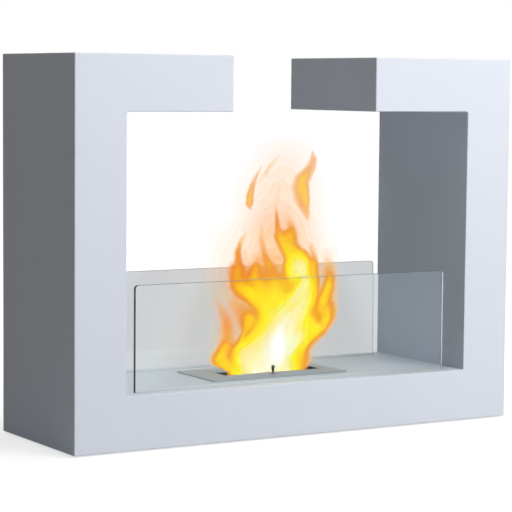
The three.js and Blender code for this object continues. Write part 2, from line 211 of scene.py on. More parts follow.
def rounded_outline(corners, radii, inset=0.0, steps=8):
    """A closed outline with an arc at each corner, as an (n, 2) array in the corners' own turning sense.

    Each corner moves inwards by inset along both its edges' normals. Its arc then runs from edge to edge
    about a centre that lies one radius inside both edges. An outward corner's radius shrinks by the inset
    and an inward corner's grows, and a sharp inward corner stays sharp.
    """
    corners = np.asarray(corners, float)
    radii = np.asarray(radii, float)
    into = corners - np.roll(corners, 1, 0)
    into /= np.linalg.norm(into, axis=1, keepdims=True)
    out = np.roll(into, -1, 0)
    turn = into[:, 0] * out[:, 1] - into[:, 1] * out[:, 0]
    left_of = np.stack([-into[:, 1], into[:, 0]], -1)
    left_of_next = np.stack([-out[:, 1], out[:, 0]], -1)
    moved = corners + inset * (left_of + left_of_next)
    grown = np.where(turn > 0, np.maximum(radii - inset, 0.0), np.where(radii > 0, radii + inset, 0.0))
    sense = np.sign(turn)[:, None]
    centre = moved + grown[:, None] * sense * (left_of + left_of_next)
    swing = np.linspace(0.0, np.pi / 2, steps + 1)[None, :, None]
    start, end = (-sense * left_of)[:, None], (-sense * left_of_next)[:, None]
    arc = centre[:, None] + grown[:, None, None] * (np.cos(swing) * start + np.sin(swing) * end)
    return arc.reshape(-1, 2)


def edge_profile(radius, steps=5):
    """(inset, depth) pairs of a quarter round that starts on the rim and ends on the face."""
    swing = np.linspace(0.0, np.pi / 2, steps)
    return np.stack([radius * (1 - np.cos(swing)), radius * (1 - np.sin(swing))], -1)


def upright(outline, y):
    """The points of an outline drawn in X and Z, at this place on Y."""
    return np.stack([outline[:, 0], np.full(len(outline), y), outline[:, 1]], -1)


def lying(outline, z):
    """The points of an outline drawn in X and Y, at this height."""
    return np.column_stack([outline, np.full(len(outline), z)])


def merge_doubles(piece, distance=1e-7):
    """Joins the piece's vertices that lie on each other and turns its faces outwards."""
    work = bmesh.new()
    work.from_mesh(piece.data)
    bmesh.ops.remove_doubles(work, verts=work.verts, dist=distance)
    bmesh.ops.dissolve_degenerate(work, dist=distance, edges=work.edges)
    bmesh.ops.recalc_face_normals(work, faces=work.faces)
    work.to_mesh(piece.data)
    work.free()
    piece.data.update()
    return piece


def softened(piece, degrees):
    """The piece, joined up, with smooth faces and an edge wherever two of them meet above this angle."""
    merge_doubles(piece)
    piece.data.shade_smooth()
    piece.data.set_sharp_from_angle(angle=math.radians(degrees))
    return piece


def rounded_plate(name, corners, radii, faces_y, edges, materials, steps=8):
    """An upright plate between two places on Y, with its two rims rounded by the two edge radii.

    Its rings are the outline inset by r(1 - cos t) at the depth r(1 - sin t) from each face, for t from 0 to
    a right angle, and the two faces are flat. Its sides take the last of the materials.
    """
    front, back = faces_y
    places = [(inset, front + depth) for inset, depth in edge_profile(edges[0])[::-1]]
    places += [(inset, back - depth) for inset, depth in edge_profile(edges[1])]
    rings = [upright(rounded_outline(corners, radii, inset, steps), y) for inset, y in places]
    faces = tube_faces(rings)
    sides = len(faces) - 2
    smooth = [True] * sides + [False, False]
    index = [len(materials) - 1] * sides + [0, 0]
    return merge_doubles(new_piece(name, np.concatenate(rings), faces, materials, smooth, index))


def carried_section(name, section, ends, material):
    """A closed section drawn in X and Z and carried straight along Y from one end to the other."""
    rings = [upright(section, y) for y in ends]
    return softened(new_piece(name, np.concatenate(rings), tube_faces(rings), [material]), 40.0)


def turned(name, profile, place, material, sides=48):
    """A profile of (radius, height) pairs turned about an upright axis through place, with closed poles."""
    profile = np.asarray(profile, float)
    swing = np.linspace(0.0, 2 * np.pi, sides, endpoint=False)
    x = place[0] + profile[:, :1] * np.cos(swing)
    y = place[1] + profile[:, :1] * np.sin(swing)
    z = np.repeat(profile[:, 1:], sides, 1)
    vertices = np.stack([x, y, z], -1).reshape(-1, 3)
    return softened(new_piece(name, vertices, ring_faces(len(profile), sides), [material]), 35.0)


def stand_for(piece, body, slot, *nodes):
    """The piece rides on the body and is shown in place of the nodes. The slot is not used."""
    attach(piece, body)
    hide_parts(*nodes)


def give_finish(node, material):
    """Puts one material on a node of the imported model, which keeps its own mesh."""
    slots = NODES[node].material_slots
    if not slots:
        NODES[node].data.materials.append(material)
    for place in slots:
        place.material = material


# ---------- Shader nodes ----------


def blank_tree(owner):
    """The emptied node tree of a new material or world."""
    owner.use_nodes = True
    owner.node_tree.nodes.clear()
    return owner.node_tree


def add_node(tree, kind, values=None, **settings):
    """A node of this kind with these settings, whose inputs are linked to sockets or set to plain values."""
    made = tree.nodes.new(kind)
    for key, value in settings.items():
        setattr(made, key, value)
    for key, value in (values or {}).items():
        if isinstance(value, bpy.types.NodeSocket):
            tree.links.new(value, made.inputs[key])
        else:
            made.inputs[key].default_value = value
    return made


def maths(tree, operation, *values, clamp=False):
    """The output of a Math node on one, two or three values."""
    made = add_node(tree, "ShaderNodeMath", dict(enumerate(values)), operation=operation, use_clamp=clamp)
    return made.outputs[0]


def swayed(tree, value, by, base):
    """The base plus the value times by."""
    return maths(tree, "MULTIPLY_ADD", value, by, base)


def ranged(tree, value, low, high, to_low=0.0, to_high=1.0):
    """The value moved smoothly from one range to another and held at its ends."""
    values = {"Value": value, "From Min": low, "From Max": high, "To Min": to_low, "To Max": to_high}
    return add_node(tree, "ShaderNodeMapRange", values, interpolation_type="SMOOTHSTEP").outputs["Result"]


def blended(tree, factor, a, b, blend_type="MIX"):
    """Two colours mixed by a factor."""
    values = {0: factor, 6: a, 7: b}
    return add_node(tree, "ShaderNodeMix", values, data_type="RGBA", blend_type=blend_type).outputs[2]


def shaded(tree, tone, shade):
    """A colour times a value."""
    grey = add_node(tree, "ShaderNodeCombineColor", dict.fromkeys(("Red", "Green", "Blue"), shade))
    return blended(tree, 1.0, tone, grey.outputs["Color"], "MULTIPLY")


def mixed_shader(tree, factor, a, b):
    """Two shaders mixed by a factor."""
    return add_node(tree, "ShaderNodeMixShader", {0: factor, 1: a, 2: b}).outputs[0]


def bumped(tree, height, strength, distance):
    """The normal of a surface that rises and falls with the height."""
    values = {"Height": height, "Strength": strength, "Distance": distance}
    return add_node(tree, "ShaderNodeBump", values).outputs["Normal"]


def own_place(tree):
    """Object coordinates."""
    return add_node(tree, "ShaderNodeTexCoord").outputs["Object"]


def split(tree, place):
    """The sockets X, Y and Z of a vector."""
    return add_node(tree, "ShaderNodeSeparateXYZ", {"Vector": place}).outputs


def stretched(tree, scale=(1.0, 1.0, 1.0)):
    """Object coordinates, stretched along the axes."""
    values = {"Vector": own_place(tree), "Scale": scale}
    return add_node(tree, "ShaderNodeMapping", values).outputs["Vector"]


def noise(tree, place, scale, detail=2.0, roughness=0.5, distortion=0.0):
    """A value from 0 to 1 that wanders over the surface."""
    values = {"Vector": place, "Scale": scale, "Detail": detail}
    values.update({"Roughness": roughness, "Distortion": distortion})
    return add_node(tree, "ShaderNodeTexNoise", values).outputs["Fac"]


def cells(tree, place, scale):
    """The outputs of a pattern of cells."""
    return add_node(tree, "ShaderNodeTexVoronoi", {"Vector": place, "Scale": scale}).outputs


def opaque(values, times=1.0):
    """A linear colour times a number, with its alpha."""
    return (*(times * value for value in values), 1.0)


def effect(tree, name, build, values):
    """The outputs, by name, of a node group that is made once and placed in the tree with these values.

    build(tree, input sockets) gives the group's colour, roughness and normal.
    """
    group = bpy.data.node_groups.get(name)
    if group is None:
        group = bpy.data.node_groups.new(name, "ShaderNodeTree")
        for socket, default in values.items():
            kind = "NodeSocketFloat" if isinstance(default, float) else "NodeSocketColor"
            group.interface.new_socket(socket, in_out="INPUT", socket_type=kind).default_value = default
        for socket, kind in (("Base Color", "Color"), ("Roughness", "Float"), ("Normal", "Vector")):
            group.interface.new_socket(socket, in_out="OUTPUT", socket_type=f"NodeSocket{kind}")
        add_node(group, "NodeGroupOutput", build(group, add_node(group, "NodeGroupInput").outputs))
    return dict(add_node(tree, "ShaderNodeGroup", values, node_tree=group).outputs.items())


def new_material(name, look, *settings, through=None):
    """A node material whose Principled shader takes the socket values that look(tree, *settings) returns.

    With a colour in through, lamps and diffuse light pass straight through it, dimmed by that colour, as the
    eye expects of thin glass.
    """
    material = bpy.data.materials.new(name)
    tree = blank_tree(material)
    surface = add_node(tree, "ShaderNodeBsdfPrincipled", look(tree, *settings)).outputs["BSDF"]
    if through:
        path = add_node(tree, "ShaderNodeLightPath").outputs
        passes = maths(tree, "MAXIMUM", path["Is Shadow Ray"], path["Is Diffuse Ray"])
        clear = add_node(tree, "ShaderNodeBsdfTransparent", {"Color": through})
        surface = mixed_shader(tree, passes, surface, clear.outputs["BSDF"])
    add_node(tree, "ShaderNodeOutputMaterial", {"Surface": surface})
    return material


# ---------- Looks ----------

# Radius of a dark speck as a share of its cell, how much a smear dulls glass, and how much scorching shows.
SPECK_RADIUS = 0.022
SMEAR_DULLNESS = 0.4
SCORCHING = 0.35

# Heat colours: how far out from the opening they reach, in metres, and shares of that with their colours.
HEAT_REACH = 0.03
HEAT_COLOURS = ((0.05, (0.93, 0.86, 0.78, 1.0)), (0.35, (1.0, 0.95, 0.86, 1.0)), (1.0, WHITE))


def powder_coat_effect(tree, given):
    """Fine ripples, a faint cloudiness and rare dark specks of a powder coat."""
    place = stretched(tree)
    ripple = noise(tree, place, given["Ripple Scale"], detail=1.5)
    cloud = noise(tree, place, scale=14.0, detail=3.0)
    grain = noise(tree, place, scale=2600.0, detail=1.0)
    speck = maths(tree, "LESS_THAN", cells(tree, place, scale=45.0)["Distance"], SPECK_RADIUS)
    shade = swayed(tree, cloud, by=0.035, base=0.982)
    shade = swayed(tree, speck, by=-0.1, base=shade)
    height = swayed(tree, grain, by=0.15, base=ripple)
    return {
        "Base Color": shaded(tree, given["Colour"], shade),
        "Roughness": swayed(tree, grain, by=0.08, base=given["Roughness"]),
        "Normal": bumped(tree, height, strength=0.35, distance=0.00012),
    }


def powder_coat(tree, coat, base):
    """Satin powder coat of one colour."""
    values = {"Colour": opaque(base), "Roughness": coat.roughness, "Ripple Scale": 1.0 / coat.peel}
    return effect(tree, "Powder coat", powder_coat_effect, values)


def brushed_steel_effect(tree, given):
    """Long fine scratches along X, with colour, roughness and height that follow them."""
    fine = noise(tree, stretched(tree, (1.0, 45.0, 45.0)), scale=60.0, detail=4.0, roughness=0.7)
    broad = noise(tree, stretched(tree, (1.0, 9.0, 9.0)), scale=22.0)
    smudge = noise(tree, stretched(tree), scale=30.0, detail=3.0)
    shade = swayed(tree, fine, by=0.22, base=0.83)
    shade = swayed(tree, broad, by=0.12, base=shade)
    dull = swayed(tree, fine, by=0.12, base=given["Roughness"])
    return {
        "Base Color": shaded(tree, given["Colour"], shade),
        "Roughness": swayed(tree, smudge, by=0.06, base=dull),
        "Normal": bumped(tree, fine, strength=0.25, distance=0.00006),
    }


def brushed_steel(tree, base, roughness, opening=None):
    """Brushed steel. With the two corners of an opening, faint heat colours surround it."""
    given = {"Colour": opaque(base), "Roughness": roughness}
    values = effect(tree, "Brushed steel", brushed_steel_effect, given)
    if opening:
        values["Base Color"] = heated(tree, values["Base Color"], *opening)
    return {**values, "Metallic": 1.0}


def heated(tree, tone, low, high):
    """A colour with faint heat colours round the opening from low to high."""
    place = own_place(tree)
    parts = split(tree, place)
    past = []
    for part, start, end in zip((parts["X"], parts["Y"]), low, high):
        from_middle = maths(tree, "ABSOLUTE", maths(tree, "SUBTRACT", part, float(start + end) / 2))
        beyond = maths(tree, "SUBTRACT", from_middle, float(end - start) / 2)
        past.append(maths(tree, "MAXIMUM", beyond, 0.0))
    squares = [maths(tree, "POWER", value, 2.0) for value in past]
    away = maths(tree, "SQRT", maths(tree, "ADD", *squares))
    away = swayed(tree, noise(tree, place, scale=55.0), by=0.006, base=away)
    ramp = add_node(tree, "ShaderNodeValToRGB", {"Fac": ranged(tree, away, low=0.0, high=HEAT_REACH)})
    stops = ramp.color_ramp.elements
    stops.new(0.5)
    for stop, (position, heat_colour) in zip(stops, HEAT_COLOURS):
        stop.position = position
        stop.color = heat_colour
    return blended(tree, 1.0, tone, ramp.outputs["Color"], "MULTIPLY")


def zinc_plate(tree, base):
    """Zinc plate with a faint crystal pattern."""
    place = stretched(tree)
    crystal = cells(tree, place, scale=160.0)["Color"]
    shade = add_node(tree, "ShaderNodeRGBToBW", {"Color": crystal}).outputs["Val"]
    return {
        "Base Color": blended(tree, shade, opaque(base, times=0.82), opaque(base)),
        "Roughness": swayed(tree, shade, by=0.14, base=0.36),
        "Normal": bumped(tree, noise(tree, place, scale=900.0), strength=0.2, distance=0.00005),
        "Metallic": 1.0,
    }


def clear_glass(tree, tint, smear, ripple_depth):
    """Clear glass whose colour and roughness wander a little, as wiped glass does."""
    place = stretched(tree)
    wiped = noise(tree, place, scale=9.0, detail=4.0, distortion=0.8)
    ripple = noise(tree, place, scale=120.0, detail=1.0)
    return {
        "Base Color": blended(tree, wiped, opaque(tint), opaque(tint, times=1.0 - smear)),
        "Roughness": maths(tree, "MULTIPLY", wiped, smear * SMEAR_DULLNESS),
        "Normal": bumped(tree, ripple, strength=0.2, distance=ripple_depth),
        "Transmission Weight": 1.0,
        "IOR": 1.5,
    }


def silicone_rubber(tree):
    """Matt black silicone rubber."""
    place = stretched(tree)
    grain = noise(tree, place, scale=1400.0)
    dust = noise(tree, place, scale=60.0, detail=3.0)
    return {
        "Base Color": blended(tree, dust, opaque(linear(24, 24, 26)), opaque(linear(44, 44, 46))),
        "Roughness": swayed(tree, grain, by=0.15, base=0.7),
        "Normal": bumped(tree, grain, strength=0.3, distance=0.0001),
    }


def ceramic_wool(tree, base):
    """Ceramic wool: matted fibres with a few scorched strands, and painted shade in the hollows between the
    fibres.
    """
    fibres = {"detail": 6.0, "roughness": 0.75}
    strands = noise(tree, stretched(tree, (1.0, 3.5, 2.0)), scale=420.0, distortion=2.2, **fibres)
    cross = noise(tree, stretched(tree, (3.2, 1.0, 2.0)), scale=380.0, distortion=2.6, **fibres)
    matted = maths(tree, "MAXIMUM", strands, cross)
    lit = ranged(tree, matted, low=0.45, high=0.75)
    patches = noise(tree, stretched(tree), scale=38.0, detail=3.0)
    scorch = ranged(tree, patches, low=0.62, high=0.8)
    # Painted shade: where the fibre pattern that also raises the bumps is low, the wool falls to 0.55 of its
    # colour.
    fibre_shaded = blended(tree, lit, opaque(base, times=0.55), opaque(base))
    scorched = maths(tree, "MULTIPLY", scorch, SCORCHING)
    return {
        "Base Color": blended(tree, scorched, fibre_shaded, opaque(linear(168, 150, 126))),
        "Roughness": 0.95,
        "Normal": bumped(tree, matted, strength=0.9, distance=0.0006),
    }


def rubber_material():
    """The one rubber material, made on its first use."""
    return bpy.data.materials.get("silicone rubber") or new_material("silicone rubber", silicone_rubber)


# ---------- Frame of the fireplace ----------


def sheet_thickness():
    """Thickness of the frame's sheets."""
    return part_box("base_plate")[1].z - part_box("base_plate")[0].z


def frame_corners():
    """Corners of the frame's front outline, anticlockwise seen from the front, with their radii.

    Two pillars stand on the hearth bar, and each carries an arm: the corners come from the boxes of the
    packed panels, outside corners have the edge radius, and the bends under the arms the bend radius.
    """
    coat = bpy.context.scene.fireplace_coat
    low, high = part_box("front_panel")
    half_width, bottom, top = high.x, low.z, high.z
    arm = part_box("right_end_cap")[0]
    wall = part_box("right_inner_panel")[1].x - sheet_thickness()
    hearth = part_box("hearth_plate")[1].z
    right = [
        (half_width, bottom, coat.edge),
        (half_width, top, coat.edge),
        (arm.x, top, coat.edge),
        (arm.x, arm.z, coat.edge),
        (wall, arm.z, coat.bend),
        (wall, hearth, 0.0),
    ]
    left = [(-x, z, r) for x, z, r in reversed(right)]
    rows = np.array(right + left)
    return rows[:, :2], rows[:, 2]


def box_corners(a, b):
    """The corners of a rectangle between two opposite ones, anticlockwise."""
    return [(a[0], a[1]), (b[0], a[1]), (b[0], b[1]), (a[0], b[1])]


def sheet_section(low, high, rounded, radius):
    """Section in X and Z of a flat sheet between two corners, with the named corners rounded."""
    corners = box_corners((low.x, low.z), (high.x, high.z))
    names = ("low_x_low_z", "high_x_low_z", "high_x_high_z", "low_x_high_z")
    return rounded_outline(corners, [radius if name in rounded else 0.0 for name in names], steps=6)


def inner_panel_section(side, sign, bend, steps=13):
    """Section of one inner panel: up the pillar, round the bend and out along the underside of the arm."""
    low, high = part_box(f"{side}_inner_panel")
    sheet = sheet_thickness()
    outer_x = max(abs(low.x), abs(high.x))
    free_x = min(abs(low.x), abs(high.x))
    wall, under = outer_x - sheet, high.z - sheet
    swing = np.linspace(0.0, np.pi / 2, steps)
    centre = np.array([wall - bend, under - bend])
    round_way = np.stack([np.cos(swing), np.sin(swing)], -1)
    inside, outside = centre + bend * round_way, centre + (bend + sheet) * round_way
    foot, free_end = [[wall, low.z], [outer_x, low.z]], [[free_x, high.z], [free_x, under]]
    return np.concatenate([foot, outside, free_end, inside[::-1]]) * (sign, 1.0)


class FIREPLACE_OT_frame(bpy.types.Operator):
    """Make the coated sheets of the frame, with rounded edges and bends"""

    bl_idname = "fireplace.frame"
    bl_label = "Coated frame"

    def execute(self, context):
        coat = context.scene.fireplace_coat
        front_coat = new_material("front powder coat", powder_coat, coat, coat.front)
        # How much darker the side coat is than the front coat is painted shade.
        side_coat = new_material("side powder coat with painted shade", powder_coat, coat, coat.side)
        corners, radii = frame_corners()
        for end, edges in (("front", (coat.edge, 0.0)), ("back", (0.0, coat.edge))):
            low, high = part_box(f"{end}_panel")
            ends = low.y, high.y
            piece = rounded_plate(f"coated_{end}_panel", corners, radii, ends, edges, [front_coat], 10)
            stand_for(piece, "frame", "front_coat", f"{end}_panel")
        for side, sign, outer, inner in (("left", -1, "low_x", "high_x"), ("right", 1, "high_x", "low_x")):
            rounded = {
                "side_panel": {f"{outer}_low_z", f"{outer}_high_z"},
                "top_cover": {f"{inner}_high_z"},
                "end_cap": {f"{inner}_low_z"},
            }
            for sheet, names in rounded.items():
                node = f"{side}_{sheet}"
                low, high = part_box(node)
                section = sheet_section(low, high, names, coat.edge)
                piece = carried_section(f"coated_{node}", section, (low.y, high.y), side_coat)
                stand_for(piece, "frame", "side_coat", node)
            node = f"{side}_inner_panel"
            low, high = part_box(node)
            section = inner_panel_section(side, sign, coat.bend)
            piece = carried_section(f"coated_{node}", section, (low.y, high.y), front_coat)
            stand_for(piece, "frame", "front_coat", node)
        give_finish("hearth_plate", new_material("hearth powder coat", powder_coat, coat, coat.hearth))
        give_finish("base_plate", side_coat)
        return {"FINISHED"}


# ---------- Glass ----------

# Share of the light that passes straight through a pane, apart from its tint.
THROUGH_PANE = 0.96


class FIREPLACE_OT_glass(bpy.types.Operator):
    """Make the two panes with rounded upper corners and polished edges, and finish their channels"""

    bl_idname = "fireplace.glass"
    bl_label = "Glass panes"

    def execute(self, context):
        glass = context.scene.fireplace_glass
        looks = (
            ("clear glass", glass.tint, 0.015, 0.00002),
            ("polished glass edge", glass.edge_tint, 0.1, 0.0001),
        )
        materials = [
            new_material(name, clear_glass, tint, smear, ripple, through=opaque(tint, times=THROUGH_PANE))
            for name, tint, smear, ripple in looks
        ]
        radii = [glass.arris, glass.arris, glass.corner, glass.corner]
        edges = (glass.arris, glass.arris)
        rubber = rubber_material()
        zinc = new_material("zinc plate of the channels", zinc_plate, context.scene.fireplace_burner.zinc)
        for end in ENDS:
            low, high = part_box(f"{end}_glass")
            corners = box_corners((low.x, low.z), (high.x, high.z))
            piece = rounded_plate(f"{end}_pane", corners, radii, (low.y, high.y), edges, materials, 12)
            stand_for(piece, f"{end}_pane", "glass", f"{end}_glass")
            give_finish(f"{end}_glass_liner", rubber)
            give_finish(f"{end}_glass_channel", zinc)
        return {"FINISHED"}


# ---------- Burner ----------


def opening_box(rim=0.0001):
    """Low and high corner of the burner's opening in X and Y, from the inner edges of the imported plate."""
    places = np.array([v.co for v in NODES["burner_top_plate"].data.vertices])[:, :2]
    inner = places[(np.abs(places) < np.abs(places).max(0) - rim).all(1)]
    return inner.min(0), inner.max(0)


def top_plate(name, edge, material):
    """The burner's top plate: a section from the outer rim to the opening, carried round both rectangles.

    Each ring is a rectangle, inset from the plate's outline or grown from the opening's, at one height. The
    rims are quarter rounds, and the bottom is flat.
    """
    low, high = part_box("burner_top_plate")
    outer, inner = box_corners(low, high), box_corners(*opening_box())
    corner = 2 * edge
    rim = edge_profile(edge)
    rings = [(outer, corner, 0.0, low.z)]
    rings += [(outer, corner, inset, high.z - depth) for inset, depth in rim]
    rings += [(inner, edge, -inset, high.z - depth) for inset, depth in rim[::-1]]
    rings += [(inner, edge, 0.0, low.z)]
    made = []
    for corners, radius, inset, z in rings:
        made.append(lying(rounded_outline(corners, [radius] * 4, inset, steps=6), z))
    faces = ring_faces(len(made), len(made[0]), closed_path=True)
    return softened(new_piece(name, np.concatenate(made), faces, [material]), 30.0)


class FIREPLACE_OT_burner(bpy.types.Operator):
    """Make the burner's top plate and give the reservoir, screen, rails, shutter and well their finish"""

    bl_idname = "fireplace.burner"
    bl_label = "Burner"

    def execute(self, context):
        burner = context.scene.fireplace_burner
        finish = (brushed_steel, burner.steel, burner.roughness)
        heated_steel = new_material("brushed stainless top plate", *finish, opening_box())
        plate = top_plate("brushed_top_plate", burner.edge, heated_steel)
        stand_for(plate, "burner", "stainless", "burner_top_plate")
        steel = new_material("brushed stainless steel", *finish)
        for node in ("burner_reservoir", "wool_screen", "shutter_plate"):
            give_finish(node, steel)
        for side in SIDES:
            give_finish(f"{side}_shutter_rail", steel)
        give_finish("burner_well", new_material("zinc plate of the well", zinc_plate, burner.zinc))
        return {"FINISHED"}


class FIREPLACE_OT_pin(bpy.types.Operator):
    """Make the regulator's turned pin: a rivet foot, a spigot through the shutter and a tapered stem"""

    bl_idname = "fireplace.pin"
    bl_label = "Regulator pin"

    def execute(self, context):
        burner = context.scene.fireplace_burner
        low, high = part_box("shutter_pin")
        middle = (low + high) / 2
        head = (high.x - low.x) / 2
        plate_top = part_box("burner_top_plate")[1].z
        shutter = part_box("shutter_plate")
        neck, spigot, rivet = head * 0.62, head * 0.45, head * 0.82
        foot = [(0.0, low.z), (rivet * 0.8, low.z), (rivet, low.z + 0.0003), (rivet, shutter[0].z)]
        stem = [(spigot, shutter[0].z), (spigot, shutter[1].z), (neck, shutter[1].z), (neck, plate_top)]
        # Radius as a share of the head's, and the depth below the top.
        top = ((0.97, 0.003), (1.0, 0.0022), (1.0, 0.0007), (0.93, 0.0002), (0.78, 0.0), (0.0, 0.0))
        profile = foot + stem + [(head * radius, high.z - depth) for radius, depth in top]
        steel = new_material("heat-darkened turned steel", brushed_steel, burner.pin, burner.roughness)
        pin = turned("regulator_pin", profile, (middle.x, middle.y), steel)
        stand_for(pin, "shutter", "stainless", "shutter_pin")
        return {"FINISHED"}


class FIREPLACE_OT_wool(bpy.types.Operator):
    """Make the ceramic wool as a soft tufted block"""

    bl_idname = "fireplace.wool"
    bl_label = "Ceramic wool"

    def execute(self, context):
        burner = context.scene.fireplace_burner
        low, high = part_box("wool_pad")
        wool = new_material("ceramic wool", ceramic_wool, burner.wool)
        piece = tufted_block("tufted_wool", low, high, burner.tuft, wool)
        stand_for(piece, "burner", "ceramic_wool", "wool_pad")
        return {"FINISHED"}


def tufted_block(name, low, high, tuft, material, corner=0.004, points=192, waves=14, pitch=420.0, seed=5):
    """A block with soft edges and tufted faces.

    Rings of a rounded rectangle are stacked from the bottom to the top and closed by shrinking them to
    the middle. Every point near a face then moves along that face's normal by the tuft height times the
    mean of sine waves, with random directions and phases and a pitch in radians per metre.
    """
    centre = np.array((low + high) / 2)
    half = np.array((high - low) / 2) - tuft
    heights = np.linspace(-half[2] + corner, half[2] - corner, 12)
    lid = half[:2].min() - corner
    edge_rings = [(inset, half[2] - depth) for inset, depth in edge_profile(corner)[1:]]
    lid_rings = [(corner + lid * part, half[2]) for part in np.linspace(0.0, 1.0, 14)[1:]]
    upper = [(0.0, z) for z in heights] + edge_rings + lid_rings
    lower = [(inset, -z) for inset, z in reversed(edge_rings + lid_rings)]
    corners = box_corners(-half, half)
    rings = []
    for inset, z in lower + upper:
        outline = rounded_outline(corners, [corner] * 4, min(inset, half[1] * 0.999), steps=4)
        rings.append(lying(resampled(outline, points), z))
    places = np.concatenate(rings)
    draw = np.random.default_rng(seed)
    directions = draw.normal(0.0, pitch, (waves, 3))
    phases = draw.uniform(0.0, 2 * np.pi, waves)
    lift = np.sin(places @ directions.T + phases).mean(1)
    near_face = np.abs(places) > half * 0.9
    places = places + tuft * lift[:, None] * np.sign(places) * near_face
    piece = merge_doubles(new_piece(name, places + centre, tube_faces(rings), [material]), distance=2e-5)
    piece.data.shade_smooth()
    return piece


def resampled(outline, count):
    """The closed outline with count points spaced evenly along it."""
    closed = np.vstack([outline, outline[:1]])
    steps = np.linalg.norm(np.diff(closed, axis=0), axis=1)
    reached = np.concatenate([[0.0], np.cumsum(steps)])
    wanted = np.linspace(0.0, reached[-1], count, endpoint=False)
    return np.column_stack([np.interp(wanted, reached, closed[:, axis]) for axis in (0, 1)])


# ---------- Flame ----------

